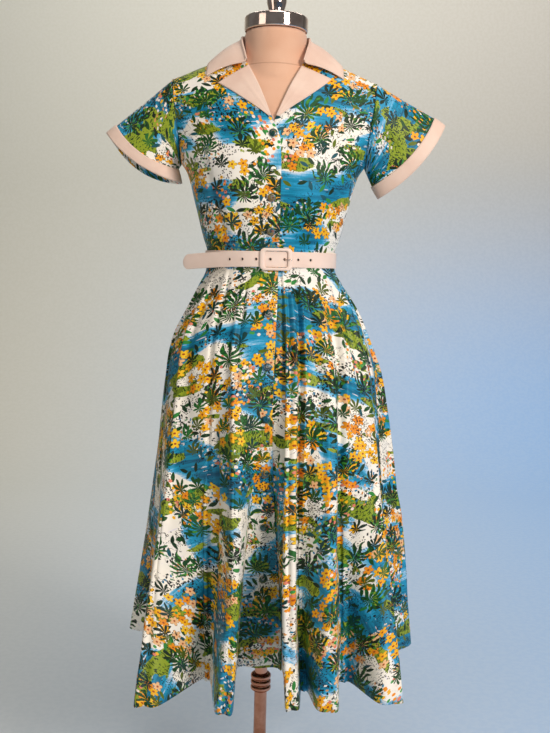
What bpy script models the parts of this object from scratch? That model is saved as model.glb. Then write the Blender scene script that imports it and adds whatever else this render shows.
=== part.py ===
"""A short-sleeved, belted shirtwaist dress on a limbless dress form with a round stand.

Metres, +Z up. The front faces -Y, and the origin is the middle of the base's underside.
"right" and "left" in names are the wearer's: the wearer's right is at -X.
Cloth pieces are open sheets on the garment's outer face, thickened inwards.
"""

import math
from collections import namedtuple

import bmesh
import bpy
from mathutils import Vector


def table(columns, rows):
    Row = namedtuple("Row", columns)
    return [Row(*row) for row in rows]


# ---------------------------------------------------------------- driving sizes
WALL = 0.0012  # printed cotton
FACED_WALL = 0.0014  # white cotton, two layers: collar, lapels, cuffs
SEAM_GAP = 0.0008
LAY_GAP = 0.0006  # between a piece and the panel it lies on
LAP_STEP = WALL + 0.0009  # how far the under layer of the lap lies inside the top one

WAIST_Z = 1.077
ARMPIT_Z = 1.250
SHOULDER_Z = 1.405
HEM_Z = 0.300
LAP_HALF = 0.016  # the two fronts overlap by twice this at the centre
LAP_TOP_Z = 1.335  # above this the fronts part into the V

# Where the surface would meet the middle of the neck, if the shoulders ran on to it.
RIDGE_Z = 1.475
RIDGE_Y = 0.010
SHOULDER_FALL = 1.2  # exponent of the ridge's fall from the neck to the arm
FRONT_ARCH = 1.5  # exponent of the curve from chest to shoulder
BACK_ARCH = 2.6

BODICE = table(
    "z half_width front back square",
    [
        (WAIST_Z, 0.1200, 0.0920, 0.0880, 2.00),
        (1.0910, 0.1206, 0.0926, 0.0886, 2.00),
        (1.1140, 0.1275, 0.0985, 0.0925, 2.10),
        (1.1740, 0.1430, 0.1120, 0.0995, 2.30),
        (1.2320, 0.1590, 0.1180, 0.1040, 2.40),
        (ARMPIT_Z, 0.1705, 0.1185, 0.1050, 2.40),
    ],
)
BUST_X, BUST_Z, BUST_RISE = 0.074, 1.212, 0.007
BUST_WIDE, BUST_TALL = 0.034, 0.042

# The armhole's seam, from the armpit (share 0) to the shoulder point (share 1).
ARMHOLE = table(
    "share x front_y back_y",
    [
        (0.00, 0.1705, 0.000, 0.000),
        (0.20, 0.1730, -0.030, 0.034),
        (0.50, 0.1815, -0.040, 0.046),
        (0.80, 0.1870, -0.024, 0.034),
        (1.00, 0.1895, 0.010, 0.010),
    ],
)
# Each front's inner edge above the armpit: lap, bottom of the V, roll line, neck.
FRONT_EDGE = table(
    "share x",
    [
        (0.00, -LAP_HALF),
        (0.17, -0.0130),
        (0.27, -0.0002),
        (0.43, 0.0200),
        (0.67, 0.0490),
        (0.84, 0.0600),
        (1.00, 0.0665),
    ],
)
NECK_X = 0.0665
BACK_NECK_DROP = 0.265  # share of the arch that the neckline dips by at the centre back

# Ellipse sections of the skirt without its folds.
SKIRT = table(
    "z left right front back",
    [
        (WAIST_Z, 0.1200, 0.1200, 0.0920, 0.0880),
        (1.0620, 0.1206, 0.1210, 0.0926, 0.0887),
        (1.0270, 0.1330, 0.1400, 0.1040, 0.1030),
        (0.9820, 0.1550, 0.1640, 0.1170, 0.1220),
        (0.9350, 0.1790, 0.1815, 0.1290, 0.1390),
        (0.9000, 0.1890, 0.1930, 0.1350, 0.1470),
        (0.8560, 0.1950, 0.2040, 0.1410, 0.1540),
        (0.7940, 0.2010, 0.2110, 0.1480, 0.1610),
        (0.7030, 0.2060, 0.2190, 0.1570, 0.1700),
        (0.5300, 0.2130, 0.2330, 0.1720, 0.1850),
        (HEM_Z, 0.2250, 0.2480, 0.1880, 0.2020),
    ],
)
# Ridges and valleys of the skirt in turn, from the centre front to the viewer's right.
# waist and middle are angles round the section, in degrees, with the half spread of each
# at the waist; hem_x and hem_y are the fold's tip at the hem, hem_half its half width
# there, faces the direction it points in, and it begins at share "starts" of the length.
FOLDS = table(
    "name waist spread middle hem_x hem_y hem_half faces starts power",
    [
        ("centre_valley", 0, 7.7, -1, -0.005, -0.067, 0.043, 0, 0.00, 2.2),
        ("ridge_c", 13, 3, 10, 0.057, -0.236, 0.013, 0, 0.00, 1.5),
        ("valley_cd", 22, 3, 17, 0.080, -0.163, 0.006, 0, 0.10, 1.6),
        ("ridge_d", 34, 5, 27, 0.119, -0.240, 0.019, 0, 0.00, 1.4),
        ("valley_de", 50, 5, 42, 0.156, -0.121, 0.012, 10, 0.10, 1.6),
        ("ridge_e", 65, 6, 56, 0.236, -0.203, 0.024, 20, 0.25, 1.5),
        ("valley_ef", 80, 4, 75, 0.200, -0.045, 0.018, 85, 0.15, 1.5),
        ("ridge_f", 100, 4, 98, 0.303, 0.080, 0.024, 100, 0.04, 1.0),
        ("valley_fg", 118, 5, 119, 0.165, 0.100, 0.014, 120, 0.12, 1.6),
        ("ridge_g", 135, 5, 137, 0.195, 0.215, 0.022, 138, 0.08, 1.4),
        ("valley_gh", 152, 5, 152, 0.080, 0.163, 0.014, 155, 0.08, 1.6),
        ("ridge_h", 170, 5, 171, 0.032, 0.280, 0.022, 173, 0.08, 1.4),
        ("valley_hi", 188, 5, 190, -0.042, 0.174, 0.014, 192, 0.10, 1.6),
        ("ridge_i", 206, 5, 207, -0.125, 0.262, 0.022, 206, 0.08, 1.4),
        ("valley_ij", 226, 5, 228, -0.135, 0.142, 0.014, 226, 0.12, 1.6),
        ("ridge_j", 253, 5, 250, -0.276, 0.128, 0.016, 258, 0.12, 1.3),
        ("valley_ja", 285, 5, 276, -0.196, 0.055, 0.020, 268, 0.20, 1.6),
        ("ridge_a", 302, 5, 309, -0.199, -0.234, 0.024, 345, 0.25, 1.6),
        ("valley_ab", 322, 4, 329, -0.101, -0.130, 0.012, 335, 0.45, 1.4),
        ("ridge_b", 338, 4, 347, -0.061, -0.256, 0.016, 0, 0.05, 1.4),
    ],
)
MIDDLE_SPREAD = 0.7  # of the spread at the waist
RIDGE_ROUND, VALLEY_ROUND = 0.45, 0.20  # how far a fold's shoulders fall back from its tip
SKIRT_LEVELS = (1.0, 0.981, 0.952, 0.91, 0.862, 0.80, 0.72, 0.62, 0.50, 0.36, 0.19, 0.0)
COLUMNS_PER_FOLD = 4
LAP_EDGE = 1 / 3  # the lap's edges, in folds from the centre valley
LAP_COLUMNS = (-LAP_EDGE, -LAP_EDGE / 2, 0.0, LAP_EDGE / 2, LAP_EDGE)
RIGHT_SIDE_SEAM, CENTRE_BACK, LEFT_SIDE_SEAM = 6.5, 11.0, 15.5

# Sleeve loops as seen from the front: seam of the cuff, then hem; each top, then bottom.
SLEEVES = table(
    "name side seam_top seam_bottom hem_top hem_bottom bow_front bow_back",
    [
        ("left", 1, (0.297, 1.345), (0.186, 1.217), (0.318, 1.331), (0.200, 1.195), 0.014, 0.010),
        ("right", -1, (0.292, 1.318), (0.177, 1.239), (0.311, 1.303), (0.171, 1.214), 0.015, 0.024),
    ],
)
SLEEVE_HALF_DEPTH, SLEEVE_Y = 0.032, -0.002
SLEEVE_HEAD_GAP = 0.00128  # from the armhole's seam
ARMHOLE_MIDDLE = (0.17, 1.31)  # x and z
ARMHOLE_STEPS = 8

# Half the collar, from the centre back (share 0) to the lapel (share 1).
# The fold is the collar's top line; the edge lies on the shoulder, given by x and z,
# and above_edge is how far it stands off there.
COLLAR = table(
    "share fold_x fold_y fold_z edge_side edge_x edge_z above_edge",
    [
        (0.00, 0.0000, 0.0620, 1.4960, "back", 0.000, 1.437, 0.005),
        (0.20, 0.0270, 0.0570, 1.4955, "back", 0.040, 1.435, 0.004),
        (0.42, 0.0500, 0.0380, 1.4920, "back", 0.082, 1.429, 0.003),
        (0.62, 0.0615, 0.0100, 1.4860, "back", 0.117, 1.4335, 0.003),
        (0.78, 0.0600, -0.0200, 1.4720, "front", 0.123, 1.424, 0.003),
        (0.90, 0.0550, -0.0420, 1.4520, "front", 0.124, 1.413, 0.002),
        (1.00, 0.0505, -0.0560, 1.4340, "front", 0.125, 1.403, 0.001),
    ],
)
COLLAR_FOLD_GAP = 0.0060  # from the stand to the fall, just under the fold
COLLAR_SEAM_RISE = 0.0022  # the stand's foot, above the neck seam
COLLAR_ON_FRONT = 0.66  # from this share on, its edge lies on the front of the shoulder
COLLAR_INSIDE_Z, LAPEL_INSIDE_Z = 1.40, 1.35  # heights in the body that they face away from
COLLAR_STATIONS = 24

# A lapel, from the V up: where it rolls, and its outer edge by x and z.
LAPEL = table(
    "roll_share edge_x edge_z",
    [
        (0.300, 0.0085, 1.3275),
        (0.350, 0.0290, 1.3430),
        (0.430, 0.0560, 1.3620),
        (0.510, 0.0780, 1.3780),
        (0.580, 0.0930, 1.3890),
        (0.645, 0.1020, 1.3965),
    ],
)
LAPEL_DROP = {"right": -0.0070, "left": 0.0060}  # of its point, from the mean
LAPEL_COLUMNS = 5
LAPEL_ROLL_RISE = 0.0016

BELT_HEIGHT, BELT_WALL = 0.028, 0.0020
BELT_INNER = 0.0028  # the strap's middle, out from the waist
BELT_OUTER = BELT_INNER + BELT_WALL + 0.0003
BELT_RISE_FROM, BELT_RISE_TO = 0.075, 0.045  # where it climbs over its own start
BELT_LEAVES = -0.066  # where the free end leaves the waist
BELT_END = -0.178
BELT_TIP_DROP = 0.009
HOLE_PITCH, HOLE_RADIUS = 0.0255, 0.0024
HOLES = range(-3, 4)
HOLE_PAST = 0.00015  # how far a hole's cutter runs past the strap's inner side
BUCKLE_AT = 0.0105
BUCKLE_OUTER, BUCKLE_OPENING = (0.0290, 0.0200), (0.0205, 0.0147)  # half sizes
BUCKLE_OUTER_CORNER, BUCKLE_OPENING_CORNER = 0.0090, 0.0040
BUCKLE_WALL = 0.0034
BUCKLE_OUT = BELT_OUTER + BELT_WALL / 2 + 0.0006 + BUCKLE_WALL / 2
BAR_RADIUS, PRONG_RADIUS = 0.0011, 0.0010
BAR_INTO_FRAME, BAR_OUT = 0.0016, 0.0023
PRONG_GAP = 0.0004  # from the bar
PRONG_OVER = BUCKLE_OUT + BUCKLE_WALL / 2 + 0.0015
# The prong comes up through the first hole and lies over the frame.
PRONG_ROUTE = table(
    "past_hole out",
    [
        (-0.0030, 0.0024),
        (-0.0004, 0.0036),
        (0.0004, 0.0066),
        (0.0026, 0.0100),
        (0.0060, PRONG_OVER),
        (0.0118, PRONG_OVER),
    ],
)

BODICE_BUTTONS_Z = (1.297, 1.234, 1.185, 1.126)
SKIRT_BUTTONS_Z = (0.980, 0.886, 0.793, 0.694, 0.594, 0.492)
BUTTON_RADIUS, BUTTON_HEIGHT, BUTTON_GAP = 0.0075, 0.0045, 0.0004

FORM_LOWER = table(
    "z half_width front back square",
    [
        (0.800, 0.1400, 0.0940, 0.1030, 2.3),
        (0.812, 0.1530, 0.1030, 0.1140, 2.3),
        (0.840, 0.1630, 0.1100, 0.1240, 2.3),
        (0.885, 0.1670, 0.1130, 0.1290, 2.3),
        (0.935, 0.1620, 0.1110, 0.1240, 2.25),
        (0.985, 0.1440, 0.1030, 0.1100, 2.2),
        (1.030, 0.1210, 0.0925, 0.0925, 2.1),
        (1.062, 0.1130, 0.0860, 0.0820, 2.0),
    ],
)
FORM_CLEAR = 0.0065  # inside the cloth, over the bust and waist
FORM_CLEAR_SHOULDER = 0.0034
FORM_CLEAR_FROM, FORM_CLEAR_TO = 1.065, 1.085  # where that clearance sets in
FORM_SHOULDER_FROM, FORM_SHOULDER_TO = 1.28, 1.38  # where the shoulder's takes over
FORM_ARM_X = 0.0060  # the form's arm end, in from the armhole seam
NECK_RADIUS = 0.0575
NECK_Y = -0.004  # the neck is set a little forward
CAP_RADIUS, CAP_BOTTOM_Z, CAP_TOP_Z = 0.0586, 1.4925, 1.5185
POLE_RADIUS, BASE_RADIUS = 0.0125, 0.180

# ---------------------------------------------------------------- materials
LOOKS = table(
    "name colour roughness metallic",
    [
        ("printed_cotton", (0.35, 0.55, 0.52), 0.62, 0.0),
        ("white_cotton", (0.86, 0.78, 0.74), 0.65, 0.0),
        ("covered_belt", (0.84, 0.77, 0.74), 0.50, 0.0),
        ("covered_button", (0.20, 0.45, 0.45), 0.55, 0.0),
        ("jersey", (0.80, 0.60, 0.45), 0.80, 0.0),
        ("chrome", (0.78, 0.77, 0.76), 0.12, 1.0),
        ("stand_metal", (0.55, 0.53, 0.52), 0.22, 1.0),
    ],
)


def make_materials():
    made = {}
    for look in LOOKS:
        material = bpy.data.materials.new(look.name)
        material.use_nodes = True
        shader = material.node_tree.nodes["Principled BSDF"]
        shader.inputs["Base Color"].default_value = (*look.colour, 1)
        shader.inputs["Roughness"].default_value = look.roughness
        shader.inputs["Metallic"].default_value = look.metallic
        made[look.name] = material
    return made


# ---------------------------------------------------------------- small maths
UP = Vector((0, 0, 1))


def smooth(x):
    x = min(1.0, max(0.0, x))
    return x * x * (3 - 2 * x)


def lerp(a, b, t):
    return a + (b - a) * t


def read(rows, key, column, at):
    """The column's value at a key, on a smooth curve through the rows."""
    keys = [getattr(row, key) for row in rows]
    values = [getattr(row, column) for row in rows]
    if keys[0] > keys[-1]:
        keys, values = keys[::-1], values[::-1]
    at = min(keys[-1], max(keys[0], at))
    i = max(k for k in range(len(keys) - 1) if keys[k] <= at)
    span = keys[i + 1] - keys[i]
    chord = (values[i + 1] - values[i]) / span

    def slope(k):
        if k in (0, len(keys) - 1):
            return chord
        before = (values[k] - values[k - 1]) / (keys[k] - keys[k - 1])
        after = (values[k + 1] - values[k]) / (keys[k + 1] - keys[k])
        return 0.0 if before * after <= 0 else 2 * before * after / (before + after)

    t = (at - keys[i]) / span
    start = slope(i)
    end = slope(i + 1)
    return (
        values[i] * (1 + 2 * t) * (1 - t) ** 2
        + start * span * t * (1 - t) ** 2
        + values[i + 1] * t * t * (3 - 2 * t)
        - end * span * t * t * (1 - t)
    )


def between(a, b, c, d, t):
    """Catmull-Rom from b to c, with a before them and d after."""
    bend = (a * 2 - b * 5 + c * 4 - d) * (t * t / 2)
    return b + (c - a) * (t / 2) + bend + (b * 3 - a - c * 3 + d) * (t**3 / 2)


def round_ring(values, at):
    """A smooth curve round a closed ring of values, at a position counted in values."""
    n = len(values)
    i = math.floor(at)
    a, b, c, d = (values[(i + k) % n] for k in (-1, 0, 1, 2))
    return between(a, b, c, d, at - i)


# ---------------------------------------------------------------- the bodice's surface
def bust(x, z):
    wide = ((abs(x) - BUST_X) / BUST_WIDE) ** 2
    tall = ((z - BUST_Z) / BUST_TALL) ** 2
    return BUST_RISE * math.exp(-(wide + tall) / 2)


def torso_point(front, x, z, rows=BODICE, with_bust=True):
    """A point of the bodice between waist and armpit."""
    half = read(rows, "z", "half_width", z)
    depth = read(rows, "z", "front" if front else "back", z)
    square = read(rows, "z", "square", z)
    share = min(1.0, abs(x) / half)
    y = depth * (1 - share**square) ** (1 / square)
    if not front:
        return Vector((x, y, z))
    rise = bust(x, z) if with_bust else 0.0
    return Vector((x, -y - rise * min(1.0, 4 * (1 - share)), z))


def shoulder_point(front, x, share):
    """A point above the armpit: share 0 is the armpit's level, 1 the shoulder's ridge."""
    arch = FRONT_ARCH if front else BACK_ARCH
    up = math.sin(share * math.pi / 2)
    across = math.cos(share * math.pi / 2)
    bottom = BODICE[-1]
    deep = -bottom.front if front else bottom.back
    middle_y = RIDGE_Y + (deep - RIDGE_Y) * across ** (2 / arch)
    middle_z = ARMPIT_Z + (RIDGE_Z - ARMPIT_Z) * up ** (2 / arch)
    edge_y = read(ARMHOLE, "share", "front_y" if front else "back_y", share)
    edge_z = ARMPIT_Z + (SHOULDER_Z - ARMPIT_Z) * up**1.15
    s = min(1.0, abs(x) / read(ARMHOLE, "share", "x", share))
    barrel = 1 - (1 - s**bottom.square) ** (1 / bottom.square)
    turn = lerp(barrel, s**2.2, smooth(share / 0.3))
    fall = s ** lerp(2.0, SHOULDER_FALL, share)
    z = lerp(middle_z, edge_z, fall)
    y = lerp(middle_y, edge_y, turn)
    if front:
        y -= bust(x, z) * min(1.0, 4 * (1 - s)) * (1 - smooth(share / 0.6))
    return Vector((x, y, z))


def share_at(front, x, z):
    low, high = 0.0, 1.0
    for _ in range(30):
        middle = (low + high) / 2
        if shoulder_point(front, x, middle).z < z:
            low = middle
        else:
            high = middle
    return (low + high) / 2


def on_shoulder(front, x, z, lift):
    """The point of the upper bodice at x and z, moved out by lift."""
    share = share_at(front, x, z)
    step = 0.002
    here = shoulder_point(front, x, share)
    beside = shoulder_point(front, x + step, share) - shoulder_point(front, x - step, share)
    above = shoulder_point(front, x, min(1.0, share + step)) - shoulder_point(front, x, share - step)
    out = beside.cross(above).normalized()
    return here + out * (lift if front else -lift)


# ---------------------------------------------------------------- the skirt's surface
def turned_to(degrees):
    """The direction at an angle from the front, towards the viewer's right."""
    return Vector((math.sin(math.radians(degrees)), -math.cos(math.radians(degrees)), 0))


def fold_rings():
    """Three places for each fold: its middle and the two shoulders beside it."""
    waist, middle, hem = [], [], []
    for i, fold in enumerate(FOLDS):
        ridge = i % 2 == 1
        tip = Vector((fold.hem_x, fold.hem_y, 0))
        out = turned_to(fold.faces)
        along = turned_to(fold.faces + 90)
        back = -fold.hem_half * RIDGE_ROUND if ridge else fold.hem_half * VALLEY_ROUND
        for side in (-1, 0, 1):
            waist.append(fold.waist + side * fold.spread)
            middle.append(fold.middle + side * fold.spread * MIDDLE_SPREAD)
            hem.append(tip + along * (side * fold.hem_half) + out * (back * abs(side)))
    return waist, middle, hem


WAIST_RING, MIDDLE_RING, HEM_RING = fold_rings()


def section_at(z, x, y):
    wide = read(SKIRT, "z", "right" if x >= 0 else "left", z)
    deep = read(SKIRT, "z", "front" if y <= 0 else "back", z)
    return wide, deep


def angle_from(ring, at):
    """An angle of the ring of folds, unwrapped so that it runs on past a full turn."""
    turns = len(ring)
    unwrapped = [value - (360 if value > 340 and i < 3 else 0) for i, value in enumerate(ring)]
    i = math.floor(at)
    a, b, c, d = (unwrapped[(i + k) % turns] + 360 * ((i + k) // turns) for k in (-1, 0, 1, 2))
    return between(a, b, c, d, at - i)


def skirt_point(at, z):
    """A point of the skirt: at counts folds from the centre front."""
    ring_at = at * 3 + 1
    drop = (WAIST_Z - z) / (WAIST_Z - HEM_Z)
    hem = round_ring(HEM_RING, ring_at)
    wide, deep = section_at(HEM_Z, hem.x, hem.y)
    hem_angle = math.degrees(math.atan2(hem.x / wide, -hem.y / deep))
    ratio = math.hypot(hem.x / wide, hem.y / deep)
    waist_angle = angle_from(WAIST_RING, ring_at)
    middle_angle = angle_from(MIDDLE_RING, ring_at)
    hem_angle += 360 * round((waist_angle - hem_angle) / 360)
    angle = (
        waist_angle * (1 - drop) * (1 - 2 * drop)
        + middle_angle * 4 * drop * (1 - drop)
        + hem_angle * drop * (2 * drop - 1)
    )
    low = math.floor(at)
    fold, after = FOLDS[low % len(FOLDS)], FOLDS[(low + 1) % len(FOLDS)]
    starts = lerp(fold.starts, after.starts, smooth(at - low))
    power = lerp(fold.power, after.power, smooth(at - low))
    grown = max(0.0, (drop - starts) / (1 - starts)) ** power
    out = 1 + (ratio - 1) * grown
    direction = turned_to(angle)
    wide, deep = section_at(z, direction.x, direction.y)
    return Vector((direction.x * wide * out, direction.y * deep * out, z))


# ---------------------------------------------------------------- building pieces
def collection(name):
    made = bpy.data.collections.new(name)
    bpy.context.scene.collection.children.link(made)
    return made


def add_object(name, mesh, home, material):
    piece = bpy.data.objects.new(name, mesh)
    home.objects.link(piece)
    mesh.materials.append(material)
    return piece


def grid_mesh(name, rows, closed=False):
    """Quads through rows of points, facing out when rows run down and columns to +X at -Y."""
    mesh = bpy.data.meshes.new(name)
    shape = bmesh.new()
    made = [[shape.verts.new(point) for point in row] for row in rows]
    for upper, lower in zip(made, made[1:]):
        pairs = list(zip(upper, upper[1:], lower, lower[1:]))
        if closed:
            pairs.append((upper[-1], upper[0], lower[-1], lower[0]))
        for a, b, c, d in pairs:
            shape.faces.new((a, c, d, b))
    shape.to_mesh(mesh)
    shape.free()
    return mesh


def with_borders_in(rows, amount, top_amount):
    """The rows, with each border moved inwards by half a seam's gap."""
    rows = [[point.copy() for point in row] for row in rows]
    moves = []
    for edge, inner in ((0, 1), (-1, -2)):
        across = top_amount if edge == 0 else amount
        moves += [(rows[edge], k, rows[inner][k] - rows[edge][k], across) for k in range(len(rows[0]))]
        moves += [(row, edge, row[inner] - row[edge], amount) for row in rows]
    for row, k, towards, far in moves:
        row[k] = row[k] + towards.normalized() * far
    return rows


def sheet(
    name,
    rows,
    home,
    material,
    wall=WALL,
    gap=SEAM_GAP,
    top_gap=None,
    inside=None,
    inset=None,
    closed=False,
):
    """A cloth piece whose outer face runs through rows; inset moves each point inwards."""
    if gap:
        rows = with_borders_in(rows, gap / 2, (top_gap or gap) / 2)
    mesh = grid_mesh(name, rows, closed)
    centre = inside or Vector((0, 0, 0))
    facing = 0.0
    for face in mesh.polygons:
        middle = face.center - centre
        if inside is None:
            middle.z = 0
        facing += face.normal.dot(middle) * face.area
    if facing < 0:
        mesh.flip_normals()
    if inset:
        width = len(rows[0])
        normals = [vertex.normal.copy() for vertex in mesh.vertices]
        for i, vertex in enumerate(mesh.vertices):
            vertex.co -= normals[i] * inset(i // width, i % width)
    piece = add_object(name, mesh, home, material)
    thick = piece.modifiers.new("wall", "SOLIDIFY")
    thick.thickness = wall
    thick.offset = -1
    mesh.shade_smooth()
    return piece


def turned(name, profile, home, material, steps=32, closed=False):
    """A turned piece: profile is (radius, height) down its outer side."""
    mesh = bpy.data.meshes.new(name)
    shape = bmesh.new()
    points = [shape.verts.new((radius, 0, height)) for radius, height in profile]
    pairs = list(zip(points, points[1:]))
    if closed:
        pairs.append((points[-1], points[0]))
    for a, b in pairs:
        shape.edges.new((a, b))
    shape.to_mesh(mesh)
    shape.free()
    piece = add_object(name, mesh, home, material)
    screw = piece.modifiers.new("turn", "SCREW")
    screw.axis = "Z"
    screw.steps = screw.render_steps = steps
    screw.use_merge_vertices = True
    screw.merge_threshold = 0.00001
    screw.use_smooth_shade = True
    return piece


def loft_mesh(name, rings, joined=False):
    """A closed body through rings of points; joined means that the last meets the first."""
    mesh = bpy.data.meshes.new(name)
    shape = bmesh.new()
    made = [[shape.verts.new(point) for point in ring] for ring in rings]
    pairs = list(zip(made, made[1:]))
    if joined:
        pairs.append((made[-1], made[0]))
    for ring, after in pairs:
        for k in range(len(ring)):
            n = (k + 1) % len(ring)
            shape.faces.new((ring[k], ring[n], after[n], after[k]))
    if not joined:
        shape.faces.new(made[0][::-1])
        shape.faces.new(made[-1])
    bmesh.ops.remove_doubles(shape, verts=shape.verts, dist=0.00001)
    bmesh.ops.recalc_face_normals(shape, faces=shape.faces)
    shape.to_mesh(mesh)
    shape.free()
    return mesh


def hidden(name, mesh, home):
    piece = bpy.data.objects.new(name, mesh)
    home.objects.link(piece)
    piece.hide_render = True
    piece.display_type = "WIRE"
    return piece


def join_or_cut(piece, other, operation):
    boolean = piece.modifiers.new(other.name, "BOOLEAN")
    boolean.operation = operation
    boolean.object = other


# ---------------------------------------------------------------- bodice
BODICE_LEVELS = (ARMPIT_Z, 1.232, 1.208, 1.178, 1.146, 1.114, 1.092, WAIST_Z)
FRONT_COLUMNS = 9
BACK_SHARES = (0.0, 0.17, 0.28, 0.335, 0.352, 0.47, 0.62, 0.77, 0.88, 0.955, 1.0)  # of the half width
RIDGE_GAP = 0.0016


def upper_shares():
    """Levels of the arch, from the shoulder's ridge down to just above the armpit."""
    return [1 - k / ARMHOLE_STEPS for k in range(ARMHOLE_STEPS)]


def side_share(k, count):
    """Where a column lies between the middle and the side: closer together at the side."""
    return math.sin(math.pi / 2 * k / count)


def front_rows(side):
    """A front from its inner edge to the side, by rows from the shoulder down."""
    rows = []
    for share in upper_shares():
        inner = read(FRONT_EDGE, "share", "x", share)
        outer = read(ARMHOLE, "share", "x", share)
        rows.append(
            [
                shoulder_point(True, lerp(inner, outer, side_share(k, FRONT_COLUMNS)), share)
                for k in range(FRONT_COLUMNS + 1)
            ]
        )
    for z in BODICE_LEVELS:
        outer = read(BODICE, "z", "half_width", z)
        rows.append(
            [
                torso_point(True, lerp(-LAP_HALF, outer, side_share(k, FRONT_COLUMNS)), z)
                for k in range(FRONT_COLUMNS + 1)
            ]
        )
    return [[Vector((point.x * side, point.y, point.z)) for point in row] for row in rows]


def lap_inset(point_x):
    """How far the under front lies inside, by its distance past the centre."""
    past_edge, eased_over = 0.006, 0.022
    return LAP_STEP * (1 - smooth((point_x - LAP_HALF - past_edge) / eased_over))


def back_rows():
    """The back from side to side; the neckline dips at the centre back."""
    xs = [-share for share in BACK_SHARES[:0:-1]] + list(BACK_SHARES)
    rows = []
    for level in upper_shares():
        row = []
        for x_share in xs:
            x = x_share * ARMHOLE[-1].x
            top = 1.0
            if abs(x) < NECK_X:
                top = 1 - BACK_NECK_DROP * math.sqrt(1 - (x / NECK_X) ** 2)
            share = level * top
            row.append(shoulder_point(False, x_share * read(ARMHOLE, "share", "x", share), share))
        rows.append(row)
    for z in BODICE_LEVELS:
        half = read(BODICE, "z", "half_width", z)
        rows.append([torso_point(False, x_share * half, z) for x_share in xs])
    return rows


def make_bodice(home, material):
    right = sheet("bodice_front_right", front_rows(-1), home, material, top_gap=RIDGE_GAP)
    under = front_rows(1)

    def inset(row, column):
        leaves_lap = smooth((under[row][column].z - LAP_TOP_Z) / 0.03)
        return lap_inset(under[row][column].x) * (1 - leaves_lap)

    sheet("bodice_front_left", under, home, material, top_gap=RIDGE_GAP, inset=inset)
    sheet("bodice_back", back_rows(), home, material, top_gap=RIDGE_GAP)
    return right


# ---------------------------------------------------------------- skirt
def columns(start, end):
    count = round((end - start) * COLUMNS_PER_FOLD)
    return [lerp(start, end, k / count) for k in range(count + 1)]


def skirt_rows(places):
    return [
        [skirt_point(place, lerp(HEM_Z, WAIST_Z, level)) for place in places] for level in SKIRT_LEVELS
    ]


def make_skirt(home, material):
    beside_lap = LAP_EDGE + 1 / 6
    top = columns(LEFT_SIDE_SEAM - len(FOLDS), -beside_lap) + list(LAP_COLUMNS)
    right = sheet("skirt_front_right", skirt_rows(top), home, material)
    under = list(LAP_COLUMNS) + columns(beside_lap, RIGHT_SIDE_SEAM)

    def inset(_, column):
        return LAP_STEP * (1 - smooth((under[column] - LAP_EDGE - 0.12) / 0.35))

    sheet("skirt_front_left", skirt_rows(under), home, material, inset=inset)
    sheet("skirt_back_left", skirt_rows(columns(RIGHT_SIDE_SEAM, CENTRE_BACK)), home, material)
    sheet("skirt_back_right", skirt_rows(columns(CENTRE_BACK, LEFT_SIDE_SEAM)), home, material)
    return right


# ---------------------------------------------------------------- sleeves and cuffs
def armhole_loop():
    """Round the armhole from the shoulder point, down the front and up the back."""
    shares = [1 - k / ARMHOLE_STEPS for k in range(ARMHOLE_STEPS + 1)]
    front = [shoulder_point(True, read(ARMHOLE, "share", "x", share), share) for share in shares]
    back = [shoulder_point(False, read(ARMHOLE, "share", "x", share), share) for share in shares]
    return front + back[-2:0:-1]


def sleeve_loop(top, bottom, bow_front, bow_back, half_depth):
    """A loop round the sleeve, from its top round the front; the middles bow outwards."""
    top, bottom = Vector((top[0], SLEEVE_Y, top[1])), Vector((bottom[0], SLEEVE_Y, bottom[1]))
    middle, reach = (top + bottom) / 2, (top - bottom) / 2
    out = Vector((reach.z, 0, -reach.x)).normalized()
    loop = []
    for k in range(2 * ARMHOLE_STEPS):
        angle = math.pi * k / ARMHOLE_STEPS
        forward = math.sin(angle)
        bow = (bow_front if forward > 0 else bow_back) * forward**2
        loop.append(middle + reach * math.cos(angle) + Vector((0, -half_depth * forward, 0)) + out * bow)
    return loop


def make_sleeves(home, printed, white):
    for sleeve in SLEEVES:
        start = armhole_loop()
        seam = sleeve_loop(
            sleeve.seam_top, sleeve.seam_bottom, sleeve.bow_front, sleeve.bow_back, SLEEVE_HALF_DEPTH
        )
        hem = sleeve_loop(
            sleeve.hem_top, sleeve.hem_bottom, sleeve.bow_front, sleeve.bow_back, SLEEVE_HALF_DEPTH
        )
        clear = [point + (seam[k] - point).normalized() * SLEEVE_HEAD_GAP for k, point in enumerate(start)]
        loops = [[a.lerp(b, t) for a, b in zip(clear, seam)] for t in (0, 0.25, 0.5, 0.75)]
        loops += [seam, [a.lerp(b, 0.5) for a, b in zip(seam, hem)], hem]

        def placed(loop, side=sleeve.side):
            return [Vector((point.x * side, point.y, point.z)) for point in loop]

        middle = sum(placed(seam), Vector()) / len(seam)
        body_side = Vector((ARMHOLE_MIDDLE[0] * sleeve.side, 0, ARMHOLE_MIDDLE[1]))
        sheet(
            f"sleeve_{sleeve.name}",
            [placed(loop) for loop in loops],
            home,
            printed,
            gap=0,
            inside=(middle + body_side) / 2,
            closed=True,
        )
        band = [placed([a.lerp(b, t) for a, b in zip(seam, hem)]) for t in (0, 0.5, 1)]
        out = LAY_GAP + FACED_WALL
        sheet(
            f"cuff_{sleeve.name}",
            band,
            home,
            white,
            wall=FACED_WALL,
            gap=0,
            inside=middle,
            inset=lambda row, column: -out,
            closed=True,
        )


# ---------------------------------------------------------------- collar and lapels
def neckline_point(share):
    """The neck seam of half the collar, from the centre back to the top of the roll line."""
    back_part = 0.6
    if share < back_part:
        angle = math.pi / 2 * share / back_part
        x = NECK_X * math.sin(angle)
        return shoulder_point(False, x, 1 - BACK_NECK_DROP * math.cos(angle))
    level = lerp(1.0, 0.69, (share - back_part) / (1 - back_part))
    return shoulder_point(True, read(FRONT_EDGE, "share", "x", level), level)


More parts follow.
